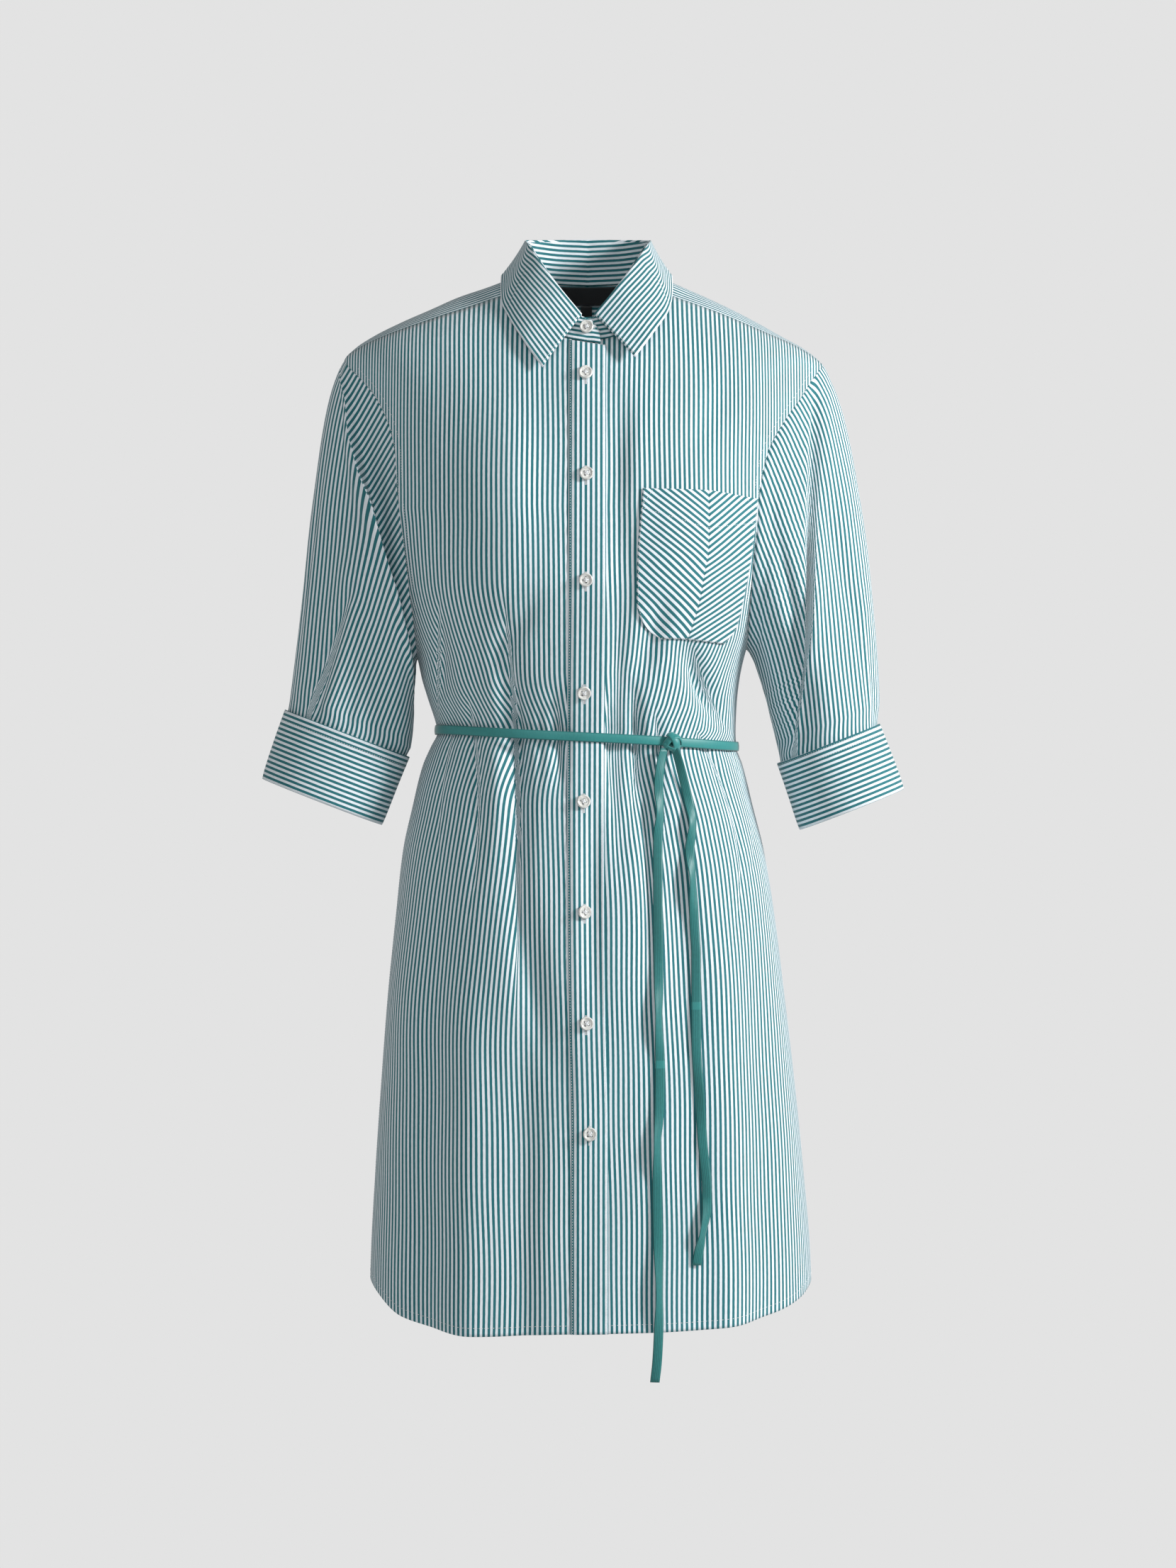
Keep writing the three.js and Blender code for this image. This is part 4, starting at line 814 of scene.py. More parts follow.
def sleeve_point(arm, a, t, fold=1.0):
    """Point of a sleeve at an angle and a share of its length; fold 0 leaves the tuck out."""
    c, h, sign = SLEEVE[arm], ARMHOLE[arm], ARMHOLE[arm]["sign"]
    a, t = np.broadcast_arrays(a, t)
    cs, sn = np.cos(np.radians(a)), np.sin(np.radians(a))
    around = np.where(a % 360 > 180, 360 - a % 360, a % 360)
    behind = a % 360 > 180
    share = t / read(TUCK, "a", "share", around)
    deep = read(TUCK, "a", "deep", around) * np.where(behind, 0.5, 1) * fold
    if arm == "left":
        shift = read(OVERHANG, "share", "shift", share)
        t = t + shift * deep / FULL_TUCK * read(TUCK, "a", "share", around)
    outer = (1 + cs) / 2
    z = (h["top"] + h["bottom"]) / 2 + (h["top"] - h["bottom"]) / 2 * cs
    p0 = body(arm_edge(arm, z, a % 360 > 180), z)
    p3 = cuff_point(arm, a, np.full(a.shape, 0.03), 3.2)
    x, drop = (mix(c["in"][i], c["out"][i], outer) for i in (0, 1))
    p1 = p0 + np.stack([x, -12 * sn, drop], -1)
    lean = mix(c["lean"][1], c["lean"][0], outer)
    back = mix(c["end"][1], c["end"][0], outer)
    p2 = p3 + np.stack([-lean * back, 0 * back, np.sqrt(1 - lean ** 2) * back], -1)
    t1 = t[..., None]
    w = 1 - t1
    p = p0 * w ** 3 + p1 * 3 * w * w * t1 + p2 * 3 * w * t1 * t1 + p3 * t1 ** 3
    high = 0.35 * np.sin(a / 7 + 3 * np.sin(6 * t)) * np.sin(9 * t + a / 40)
    for arm_sign, at, turn, start, end, wide, tall in zip(*SLEEVE_FOLDS.values()):
        if arm_sign != sign:
            continue
        along = np.clip((t - start) / (end - start), 0, 1)
        off = ((a - at - turn * along + 540) % 360 - 180) / wide
        high = high + tall * np.exp(-off * off) * np.sin(np.pi * along) ** 0.7
    high = high + 3.2 * np.sin(np.radians(2 * a)) ** 2 * np.sin(np.pi * np.clip(t, 0, 1)) ** 0.7
    if arm == "left":
        high = high - deep * np.clip(share / 0.85, 0, 1) ** 0.9 * (1 - smooth((share - 0.9) / 0.1))
        high = high + 0.2 * deep * np.exp(-((share - 1.04) / 0.12) ** 2)
    else:
        past = (around - read(SLANT["right"], "t", "a", t)) / 9
        strong = smooth(t / 0.2) * (1 - smooth((t - 0.85) / 0.15)) * np.where(behind, 0.6, 1)
        high = high - 4 * strong * np.exp(-(4 * past) ** 2) * (1 - smooth((around - 150) / 30))
        high = high - 5.5 * strong * smooth(past + 0.5) * (1 - smooth((around - 150) / 30))
        high = high + 2.0 * strong * np.exp(-(past + 1) ** 2)
    hold = np.clip((1 - t) / 0.07, 0, 1) * np.clip(t / 0.04, 0, 1)
    out = np.stack([cs * sign, -sn, 0 * cs], -1)
    return p + out * (high * hold)[..., None]


def sleeve_flat(arm, points, folded, a, t):
    """Flat cloth of a sleeve: across from its outer line at each level, square to the cuff.

    It is read from the sleeve without its tuck, and what is tucked in runs its own way.
    """
    c, sign = SLEEVE[arm], ARMHOLE[arm]["sign"]
    down = points @ np.array([sign * c["rise"], 0, -math.sqrt(1 - c["rise"] ** 2)])
    rising = np.maximum.accumulate(down, 0) + 0.001 * np.arange(len(down))[:, None]
    levels = np.linspace(down.min(), down.max(), 160)
    cut = np.stack([
        np.stack([np.interp(levels, rising[:, j], points[:, j, i]) for i in range(3)], -1)
        for j in range(points.shape[1])
    ], 1)
    step = np.linalg.norm(np.diff(cut, axis=1), axis=-1)
    level_way = np.array([math.sqrt(1 - c["rise"] ** 2), 0, sign * c["rise"]])
    seen = np.abs(np.diff(cut @ level_way, axis=1))
    step = mix(step, 1.1 * seen, 0.38)
    arc = np.concatenate([np.zeros((len(levels), 1)), np.cumsum(step, 1)], 1)
    arc -= arc[:, [np.argmin(np.abs(a - 360))]]
    across = np.stack([np.interp(down[:, j], levels, arc[:, j]) for j in range(len(a))], 1)
    across *= np.sign((a - 360) * across + 1e-9)
    for arm_sign, at, start, lap in zip(*PLEATS.values()):
        if arm_sign == sign:
            way = math.copysign(1, at)
            passed = 1 / (1 + np.exp(-way * (a - 360 - at) / 1.6))
            across = across + way * lap * passed * np.clip((t - start) / (1 - start), 0, 1) ** 1.3
    front = a - 360
    edge = read(SLANT[arm], "t", "a", t)
    if arm == "left":
        inside = t / read(TUCK, "a", "share", np.clip(front, 0, 180)) > 1.0004
        slant = smooth((front - 40) / 66)
        slant = mix(slant, smooth((front - edge + 3) / 6), smooth((t - 0.5) / 0.1))
        across = across + 0.30 * (down - 312) * slant * (front > 0)
        tucked = folded @ np.array([0.84, 0, -0.54])
        across = np.where((front > 14) & (front < 168), mix(tucked, across, inside), across)
    else:
        across = across + 0.2 * (down - 165) * smooth((front - edge + 5) / 10) * (front > 0)
    return np.stack([across + 0.25 * np.sin(down / 17 + a / 21), -down], -1)


for arm in ("left", "right"):
    a = np.linspace(180, 540, 185)
    below = np.linspace(EDGE_ROW + EDGE_STEP, 1, 106)
    t = np.concatenate([np.linspace(0, EDGE_ROW, 46), below])[:, None]
    if arm == "left":
        edge = read(TUCK, "a", "share", np.abs(a - 360))
        t = np.where(t <= EDGE_ROW, edge * t / EDGE_ROW, mix(edge, 1, (t - EDGE_ROW) / (1 - EDGE_ROW)))
    points = sleeve_point(arm, a, t)
    flat = sleeve_flat(arm, sleeve_point(arm, a, t, 0.0), points, a, t)
    cuff_rows = np.linspace(0, 1, 24)[:, None]
    cuff = cuff_point(arm, a, cuff_rows + 0 * a)
    swell = 0.5 * np.sin(np.pi * cuff_rows) * np.sin(np.radians(3 * a + 40)) - 0.8 * cuff_rows ** 12
    out_x, out_y = np.cos(np.radians(a)) * ARMHOLE[arm]["sign"], -np.sin(np.radians(a))
    cuff += np.stack([out_x * swell, out_y * swell, 0 * swell], -1)
    cuff_flat = edge_flat(cuff, 0.9)
    if arm == "right":
        points, flat = points[:, ::-1], flat[:, ::-1]
        cuff, cuff_flat = cuff[:, ::-1], cuff_flat[:, ::-1]
    laid["cuff_" + arm] = cuff
    tube = solid_cloth("sleeve_" + arm + "_tube", points, flat, CLOTH, striped, loop=True)
    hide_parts("sleeve_" + arm)
    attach(tube, "root")
    turned = solid_cloth("cuff_" + arm + "_fold", cuff, cuff_flat, CUFF_CLOTH, striped, loop=True)
    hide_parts("cuff_" + arm)
    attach(turned, "root")

# Chest pocket: two halves cut on the bias and joined down the middle, so that the stripes meet
# in a V, with a hem at its mouth.
POCKET = columns("d left middle right zl zm zr", [
    (176, 44, 95.9, 139.6, -175.8, -176.6, -181.4), (201, 42.1, 95.9, 137, -201, -202, -206.1),
    (226, 40.3, 95.7, 134.4, -226, -226, -229), (250, 39.8, 92.4, 130.5, -248, -248, -250),
    (271, 39.6, 88.8, 126.4, -269, -272, -271), (287, 45.5, 84.4, 122, -287, -288, -288),
    (299, 60, 81.5, 112, -298.5, -299, -302),
])
POCKET_SLANT = math.radians(38)
POCKET_LIFT = 1.7
POCKET_CLOTH = 1.0
for side in ("left", "right"):
    d = np.linspace(176, 299, 64)[:, None]
    u = np.linspace(0, 1, 26)
    row = {c: read(POCKET, "d", c, d) for c in ("left", "middle", "right", "zl", "zm", "zr")}
    if side == "left":
        x, z = mix(row["left"], row["middle"], u), mix(row["zl"], row["zm"], u)
    else:
        x, z = mix(row["middle"], row["right"], u), mix(row["zm"], row["zr"], u)
    points = body(turn_at(x, z, False), z, POCKET_LIFT)
    across = -np.abs(x - row["middle"]) * math.sin(POCKET_SLANT) * 1.06 + z * math.cos(POCKET_SLANT)
    laid["pocket_" + side] = points
    flat = np.stack([across, z], -1)
    half = solid_cloth("pocket_" + side + "_half", points, flat, POCKET_CLOTH, striped)
    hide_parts("pocket_" + side)
    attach(half, "root")

# Tie: a narrow satin ribbon round the waist, over the button band. It draws the cloth in, and
# nothing else holds it.
RIBBON = 7.8


def satin(name, colour, shade):
    """Ribbon satin with fine ribs across it and a bound edge with small stitches."""
    finish, tree, shader = new_finish(name, {
        "Roughness": 0.42, "Sheen Weight": 0.25, "Specular IOR Level": 0.45})
    across, along = flat_place(tree)
    from_middle = sums(tree, "ABSOLUTE", across)
    edge = add(tree, "ShaderNodeMapRange", {0: from_middle, 1: 0.0030, 2: 0.0033})
    dots = sums(tree, "SINE", sums(tree, "MULTIPLY", along, 2 * math.pi / 0.0014))
    bound = sums(tree, "MULTIPLY", edge.outputs[0], sums(tree, "MULTIPLY_ADD", dots, 0.3, 0.45))
    place = add(tree, "ShaderNodeCombineXYZ", {0: sums(tree, "MULTIPLY", across, 300.0),
                                                1: sums(tree, "MULTIPLY", along, 900.0)})
    streak = noise(tree, 1.0, 2.0, place.outputs[0])
    mixed = blend(tree, sums(tree, "MULTIPLY_ADD", streak, 0.5, bound), colour, shade)
    tree.links.new(mixed, shader.inputs["Base Color"])
    ribs = sums(tree, "SINE", sums(tree, "MULTIPLY", along, 2 * math.pi / 0.0006))
    height = sums(tree, "MULTIPLY_ADD", ribs, 0.00002, sums(tree, "MULTIPLY", bound, -0.00015))
    raised(tree, shader, height, 0.6)
    return finish


ribbon = satin("teal_satin", (0.03, 0.27, 0.26, 1), (0.008, 0.12, 0.12, 1))


def ribbon_strip(name, rows, thick=0.5, loop=False):
    """A strip of ribbon: rows of points across it, given along its length."""
    points = np.stack(rows, 1)
    wide = np.linalg.norm(points[0, 0] - points[-1, 0])
    step = running(points[len(points) // 2], 0)
    across = np.linspace(-wide / 2, wide / 2, len(points))[:, None]
    flat = np.stack([across + 0 * step, step + 0 * across], -1)
    return solid_cloth(name, points, flat, thick, ribbon, loop)


turn = np.linspace(-180, 180, 541)
x, y = outline(turn, np.full(turn.shape, float(WAIST)))
z = tie_height(x)
way = np.stack([x, y], -1) / np.hypot(x, y)[:, None]
from_band = np.abs(x - read(FRONT_EDGE, "z", "x", z))
on_band = np.where(from_band < BAND_HALF + 1, BAND_LIFT, 0) * (np.abs(turn) < 90)
reach = []
for d in np.linspace(-4.2, 4.2, 5):
    reach.append(np.linalg.norm(body(turn, z + d, on_band)[:, :2], axis=-1))
    reach.append(np.hypot(*outline(turn, z + d)))
reach = np.max(reach, 0)
around = np.pad(reach[:-1], 5, mode="wrap")
reach = np.array([around[i:i + 11].max() for i in range(len(reach) - 1)])
around = np.pad(reach, 6, mode="wrap")
reach = np.convolve(around, np.ones(13) / 13, "valid")
reach = np.append(reach, reach[0]) + 1.2
rows = []
for s in np.linspace(1, -1, 9):
    out = reach + 0.5 * (1 - s * s) + 0.15 * np.sin(turn / 9 + s)
    rows.append(np.column_stack([way * out[:, None], z + s * RIBBON / 2 + 0.25 * np.sin(turn / 13)]))
tie_rows = np.stack(rows)
tie = ribbon_strip("tie_ribbon", list(np.swapaxes(tie_rows, 0, 1)), loop=True)
laid["tie"] = tie_rows
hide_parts("tie")
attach(tie, "root")

# Knot of the tie: the ribbon goes over itself once, pulled tight, and comes out below as two
# free ends.
KNOT = {"x": 69.4, "z": -383.6}
KNOT_CLOTH = 0.8


def nearest(name, x, z):
    """Point and outward direction of a laid piece's front face near a place of the front view."""
    grid = laid[name]
    away = (grid[..., 0] - x) ** 2 + (grid[..., 2] - z) ** 2
    away = away + np.where(grid[..., 1] > grid[..., 1].min() + 60, 1e6, 0)
    i, j = np.unravel_index(np.argmin(away), away.shape)
    i, j = np.clip(i, 1, grid.shape[0] - 2), np.clip(j, 1, grid.shape[1] - 2)
    n = np.cross(grid[i + 1, j] - grid[i - 1, j], grid[i, j + 1] - grid[i, j - 1])
    n /= np.linalg.norm(n)
    p = grid[i, j].copy()
    dx, dz = x - p[0], z - p[2]
    p += [dx, -(n[0] * dx + n[2] * dz) / n[1], dz]
    return p, n


base, out_way = nearest("tie", KNOT["x"], KNOT["z"])
right_way = np.cross([0, 0, 1.0], -out_way)
right_way = right_way / np.linalg.norm(right_way)
right_way *= np.sign(right_way[0])
up_way = np.cross(right_way, -out_way)
up_way *= np.sign(up_way[2])


def loop_piece(name, centre_line, wide, crown):
    """A short ribbon bent over the knot; its line is in the knot's own right, up and out."""
    line = np.array(centre_line, float)
    s = np.linspace(0, len(line) - 1, 42)
    smooth_line = np.stack([np.interp(s, range(len(line)), line[:, i]) for i in range(3)], -1)
    kernel = np.ones(7) / 7
    padded = np.pad(smooth_line, ((3, 3), (0, 0)), mode="edge")
    smooth_line = np.stack([np.convolve(padded[:, i], kernel, "valid") for i in range(3)], -1)
    run = np.gradient(smooth_line, axis=0)
    run /= np.linalg.norm(run, axis=-1, keepdims=True)
    hub = np.array([0, 0, 1.5])
    away = smooth_line - hub
    away -= run * (away * run).sum(-1, keepdims=True)
    away /= np.linalg.norm(away, axis=-1, keepdims=True)
    side = np.cross(run, away)
    axes = np.stack([right_way, up_way, out_way])
    centre = base + smooth_line @ axes
    rows = []
    for k in np.linspace(1, -1, 7):
        rows.append(centre + (side @ axes) * k * wide / 2 + (away @ axes) * crown * (1 - k * k))
    return ribbon_strip(name, list(np.swapaxes(np.stack(rows), 0, 1)), KNOT_CLOTH)


knot_pieces = [
    loop_piece("knot_over", [(-6.8, -3.5, 1), (-5.5, 0.5, 3.8), (-1.5, 4.6, 5.4), (2.8, 5.2, 5),
                             (6.2, 1.8, 3.6), (6.6, -3.4, 1.4)], 5.6, 1.0),
    loop_piece("knot_wrap", [(-3.4, 6.2, 0.8), (-2.6, 6.8, 3.4), (-0.4, 3, 6.6), (1.2, -1.2, 6.8),
                             (2.2, -5.8, 4.2), (2.4, -7, 1)], 6.4, 0.9),
    loop_piece("knot_under", [(-7.4, -1.5, 0.8), (-4.5, -4.2, 3.2), (0, -5.6, 4.2), (4.4, -4.4, 3.2),
                              (7.2, -0.5, 0.8)], 5.2, 0.8),
]
for piece in knot_pieces:
    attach(piece, "root")
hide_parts("knot")

# Free ends of the tie: two flat ribbons that come out of the knot, hang down the skirt and turn
# as they fall, each cut off plainly at its end.
LEFT_TAIL = columns("down x face", [
    (388.4, 63.4, 34), (393.4, 61.5, 30), (421, 58.2, 10), (440, 59.3, 40), (463, 57.5, 5),
    (531, 57.6, -10), (577, 57.9, 8), (610, 57.9, 44), (648, 59, 5), (686, 58.4, 12), (715, 56.6, 44),
    (750, 56.6, 4), (790, 57.2, 10), (837, 58.3, 44), (868, 57.7, 10), (891, 56.6, 0),
    (908, 54.8, -14),
])
RIGHT_TAIL = columns("down x face", [
    (388.4, 71.6, -34), (393.4, 73.6, -30), (409, 77.8, -15), (434, 83.6, 5), (450, 86.4, 42),
    (472, 84, 5), (496, 86.2, 50), (531, 87.4, 6), (560, 89, -4), (631, 89, 6), (673, 91.8, -16),
    (712, 94.1, 4), (752, 97.6, -8), (768, 97.4, 20), (787, 94, 48), (801, 91, 10),
    (813, 89.3, 0),
])
TAIL_CLOTH = 0.45
HEM_FRONT = 870
for name, table in (("tail_left", LEFT_TAIL), ("tail_right", RIGHT_TAIL)):
    down = np.linspace(table["down"][0], table["down"][-1], 170)
    x, face = read(table, "down", "x", down), np.radians(read(table, "down", "face", down))
    level = -np.minimum(down, HEM_FRONT)
    near = [body(turn_at(x + d, level, False), level)[:, 1] for d in (-4, 0, 4)]
    cloth_y = np.min(near, 0)
    cloth_y = np.convolve(np.pad(cloth_y, 4, mode="edge"), np.ones(9) / 9, "valid")
    y = cloth_y - 1.4 - 3.9 * np.abs(np.sin(face)) - 3.4 * (1 - np.clip((down - 393) / 40, 0, 1))
    centre = np.stack([x, y, -down], -1)
    side = np.stack([np.cos(face), np.sin(face), 0 * face], -1)
    facing = np.stack([np.sin(face), -np.cos(face), 0 * face], -1)
    rows = [centre + side * s * RIBBON / 2 + facing * 0.35 * (1 - s * s) for s in np.linspace(-1, 1, 7)]
    tail = ribbon_strip(name + "_ribbon", rows, TAIL_CLOTH)
    tail.data.flip_normals()
    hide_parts(name)
    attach(tail, "root")

# Buttons: round pearl plates with a raised rim, four holes and the sewing thread across them,
# one at the neck and eight down the band.
BUTTON = {"hole": 0.8, "spread": 1.55, "sides": 64, "hole_sides": 16}
# Turned outline of the plate, from its foot to the dished middle: radius and height.
PLATE = [
    (5.45, 0), (5.7, 0.35), (5.7, 1.35), (5.5, 1.95), (5.0, 2.3), (4.45, 2.25), (4.0, 1.8), (3.4, 1.6),
]
BUTTON_AT = columns("x z turn", [
    (-0.9, -40, 20), (-2, -79.5, 40), (-1.2, -163.7, 12), (-1.7, -251.1, 50), (-3.2, -342.8, 4),
    (-3.8, -432.6, 30), (-3.2, -523.3, 47), (-1.2, -614.4, 8), (1.5, -704.8, 0),
])


def pearl_finish(name):
    """Pearl: milky, with soft clouds of grey and cream and a clear polish."""
    finish, tree, shader = new_finish(name, {
        "Roughness": 0.22, "Coat Weight": 0.4, "Coat Roughness": 0.08})
    tint = add(tree, "ShaderNodeValToRGB", {0: noise(tree, 260.0, 3.0, Distortion=1.2)})
    tint.color_ramp.elements[0].position, tint.color_ramp.elements[1].position = 0.35, 0.65
    tint.color_ramp.elements[0].color = (0.52, 0.53, 0.51, 1)
    tint.color_ramp.elements[1].color = (0.80, 0.80, 0.76, 1)
    tree.links.new(tint.outputs[0], shader.inputs["Base Color"])
    return finish


def thread_finish(name, light, dark):
    """Sewing thread: twisted, with fine light and dark along it."""
    finish, tree, shader = new_finish(name, {"Roughness": 0.6, "Sheen Weight": 0.3})
    twist = noise(tree, 900.0, 2.0)
    tree.links.new(blend(tree, twist, light, dark), shader.inputs["Base Color"])
    return finish


pearl = pearl_finish("pearl")
thread = thread_finish("white_thread", (0.86, 0.87, 0.88, 1), (0.66, 0.70, 0.73, 1))


def mesh_object(name, vertices, faces, finish):
    """An object with a smooth mesh of its own."""
    mesh = bpy.data.meshes.new(name)
    mesh.from_pydata([tuple(v) for v in vertices], [], faces)
    mesh.materials.append(finish)
    mesh.polygons.foreach_set("use_smooth", [True] * len(mesh.polygons))
    return put(name, mesh)


def evaluated(made, name):
    """The mesh that an object's modifiers make, as an object of its own; the first one goes."""
    bpy.context.view_layer.update()
    graph = bpy.context.evaluated_depsgraph_get()
    mesh = bpy.data.meshes.new_from_object(made.evaluated_get(graph))
    mesh.name = name
    result = put(name, mesh)
    bpy.data.objects.remove(made)
    return result


def button_plate():
    """Button face up along Z: a turned plate with a rim and a dished middle, and four holes."""
    plate = bmesh.new()
    sides, hole_sides = BUTTON["sides"], BUTTON["hole_sides"]

    def circle(cx, cy, radius, height, count):
        angles = [2 * math.pi * k / count for k in range(count)]
        return [plate.verts.new((cx + radius * math.cos(a), cy + radius * math.sin(a), height))
                for a in angles]

    loops = [circle(0, 0, radius, height, sides) for radius, height in PLATE]
    for low, high in zip(loops, loops[1:]):
        for k in range(sides):
            plate.faces.new((low[k], low[(k + 1) % sides], high[(k + 1) % sides], high[k]))
    for edge, (_, height) in ((loops[0], PLATE[0]), (loops[-1], PLATE[-1])):
        near = []
        for right, up in ((1, 1), (-1, 1), (-1, -1), (1, -1)):
            near.append(circle(BUTTON["spread"] * right, BUTTON["spread"] * up, BUTTON["hole"], height,
                               hole_sides))
        edges = []
        for loop in [edge] + near:
            for k in range(len(loop)):
                pair = (loop[k], loop[(k + 1) % len(loop)])
                edges.append(plate.edges.get(pair) or plate.edges.new(pair))
        bmesh.ops.triangle_fill(plate, use_beauty=True, edges=edges)
        if height == 0:
            low_holes = near
        else:
            for low, high in zip(low_holes, near):
                for k in range(hole_sides):
                    after = (k + 1) % hole_sides
                    plate.faces.new((low[k], high[k], high[after], low[after]))
    bmesh.ops.recalc_face_normals(plate, faces=plate.faces)
    bmesh.ops.scale(plate, vec=(MM,) * 3, verts=plate.verts)
    mesh = bpy.data.meshes.new("button_plate")
    plate.to_mesh(mesh)
    plate.free()
    mesh.materials.append(pearl)
    mesh.polygons.foreach_set("use_smooth", [True] * len(mesh.polygons))
    mesh.set_sharp_from_angle(angle=math.radians(40))
    return put("button_plate", mesh)


def rod(points, radius, around=6):
    """Vertices and faces of a round thread through some points, its ends closed."""
    points = np.asarray(points, float)
    run = np.gradient(points, axis=0)
    run /= np.linalg.norm(run, axis=-1, keepdims=True)
    side = np.cross(run, [0.31, 0.2, 0.93])
    side /= np.linalg.norm(side, axis=-1, keepdims=True)
    other = np.cross(run, side)
    turn = np.linspace(0, 2 * math.pi, around, endpoint=False)
    rings = (points[:, None] + radius * (np.cos(turn)[None, :, None] * side[:, None]
                                         + np.sin(turn)[None, :, None] * other[:, None]))
    faces = []
    for i in range(len(points) - 1):
        low, high = i * around, (i + 1) * around
        for k in range(around):
            after = (k + 1) % around
            faces.append((low + k, low + after, high + after, high + k))
    faces.append(tuple(range(around))[::-1])
    faces.append(tuple((len(points) - 1) * around + k for k in range(around)))
    return rings.reshape(-1, 3), faces


def button_thread():
    """Two crossed bundles of thread through the holes, and the shank under the button."""
    vertices, faces = [], []
    s = BUTTON["spread"]
    for ends in (((s, s), (-s, -s)), ((-s, s), (s, -s))):
        for off in (-0.32, 0, 0.32):
            side = np.array([-ends[0][1], ends[0][0]]) / math.hypot(*ends[0]) * off
            a, b = np.array(ends[0]) + side, np.array(ends[1]) + side
            line = [np.append(a, -0.6), np.append(a, 1.6), np.append(mix(a, b, 0.12), 2.0),
                    np.append(mix(a, b, 0.5), 2.2 + 0.15 * (ends[0][0] > 0)),
                    np.append(mix(a, b, 0.88), 2.0), np.append(b, 1.6), np.append(b, -0.6)]
            more, these = rod(np.array(line) * MM, 0.00019)
            faces += [tuple(v + len(vertices) for v in face) for face in these]
            vertices += list(more)
    return mesh_object("button_thread", vertices, faces, thread)


def start_set(name, geometry, inputs, output):
    """A Geometry Nodes set with named inputs: its tree, its ends and its inputs' identifiers."""
    tree = bpy.data.node_groups.new(name + "_set", "GeometryNodeTree")
    ids = {}
    for label, kind in ({geometry: "Geometry"} | inputs | {"Finish": "Material"}).items():
        socket = tree.interface.new_socket(label, in_out="INPUT", socket_type="NodeSocket" + kind)
        ids[label] = socket.identifier
    tree.interface.new_socket(output, in_out="OUTPUT", socket_type="NodeSocketGeometry")
    return tree, tree.nodes.new("NodeGroupInput"), tree.nodes.new("NodeGroupOutput"), ids


def end_set(tree, copies, given, result):
    """The end of a Geometry Nodes set: its copies made real, and given their finish."""
    real = add(tree, "GeometryNodeRealizeInstances", {0: copies.outputs[0]})
    dressed = add(tree, "GeometryNodeSetMaterial", {"Geometry": real.outputs[0],
                                                     "Material": given.outputs["Finish"]})
    tree.links.new(dressed.outputs[0], result.inputs[0])


def run_set(carrier, tree, ids, values, name):
    """The mesh that a Geometry Nodes set makes from its carrier and the values of its inputs."""
    modifier = carrier.modifiers.new("set", "NODES")
    modifier.node_group = tree
    for label, value in values.items():
        modifier[ids[label]] = value
    return evaluated(carrier, name)


def place_copies(name, piece, spots, turns, finish):
    """Geometry Nodes set that puts one copy of a piece on each point of a point list, turned."""
    points = bpy.data.meshes.new(name + "_points")
    points.from_pydata([tuple(p) for p in spots], [], [])
    turned = points.attributes.new("turned", "FLOAT_VECTOR", "POINT")
    turned.data.foreach_set("vector", [c for t in turns for c in t])
    carrier = put(name + "_points", points)
    tree, given, result, ids = start_set(name, "Points", {"Piece": "Object"}, "Pieces")
    source = add(tree, "GeometryNodeObjectInfo", {"Object": given.outputs["Piece"]})
    angle = add(tree, "GeometryNodeInputNamedAttribute", {"Name": "turned"}, data_type="FLOAT_VECTOR")
    copies = add(tree, "GeometryNodeInstanceOnPoints", {
        "Points": given.outputs["Points"], "Instance": source.outputs["Geometry"],
        "Rotation": angle.outputs[0]})
    end_set(tree, copies, given, result)
    return run_set(carrier, tree, ids, {"Piece": piece, "Finish": finish}, name)


def facing(normal, spin):
    """Turn about X, Y and Z that points Z along a direction, then spins about it."""
    aimed = mathutils.Vector(normal).to_track_quat("Z", "Y")
    return tuple((aimed @ mathutils.Quaternion((0, 0, 1), spin)).to_euler("XYZ"))


spots, turns = [], []
for x, z, spin in zip(*BUTTON_AT.values()):
    if z > -45:
        p, n = nearest("neck_band", x, z)
        p = p + n * 1.0
    else:
        p, n = nearest("band", x, z)
        p = p + n * 1.1
    spots.append(p * MM)
    turns.append(facing(n, math.radians(spin)))
plate, sewing = button_plate(), button_thread()
buttons = place_copies("buttons", plate, spots, turns, pearl)
sewn = place_copies("button_sewing", sewing, spots, turns, thread)
bpy.data.objects.remove(plate)
bpy.data.objects.remove(sewing)
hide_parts("button_neck", *["button_%d" % k for k in range(1, 9)])
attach(buttons, "root")
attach(sewn, "root")

# Labels in the back of the neck: a black woven tape with nothing on it, and a small blank tab,
# both sewn on inside the yoke below the neck band.
LABEL = {"x": (-24.7, 22.9), "z": (8.4, -6)}
SIZE_TAB = {"x": (-6.3, 3.4), "z": (-6.8, -25)}
TAPE = 0.8


def woven_label(name):
    """Black damask tape: fine raised rows, a little sheen."""
    finish, tree, shader = new_finish(name, {"Roughness": 0.6, "Sheen Weight": 0.2})
    across, along = flat_place(tree)
    rows = sums(tree, "SINE", sums(tree, "MULTIPLY", along, 2 * math.pi / 0.00055))
    ends = sums(tree, "SINE", sums(tree, "MULTIPLY", across, 2 * math.pi / 0.0004))
    weave = sums(tree, "MULTIPLY", rows, ends)
    share = sums(tree, "MULTIPLY_ADD", weave, 0.5, 0.5)
    mixed = blend(tree, share, (0.006, 0.007, 0.009, 1), (0.022, 0.024, 0.027, 1))
    tree.links.new(mixed, shader.inputs["Base Color"])
    raised(tree, shader, sums(tree, "MULTIPLY", weave, 0.00005), 0.7)
    return finish


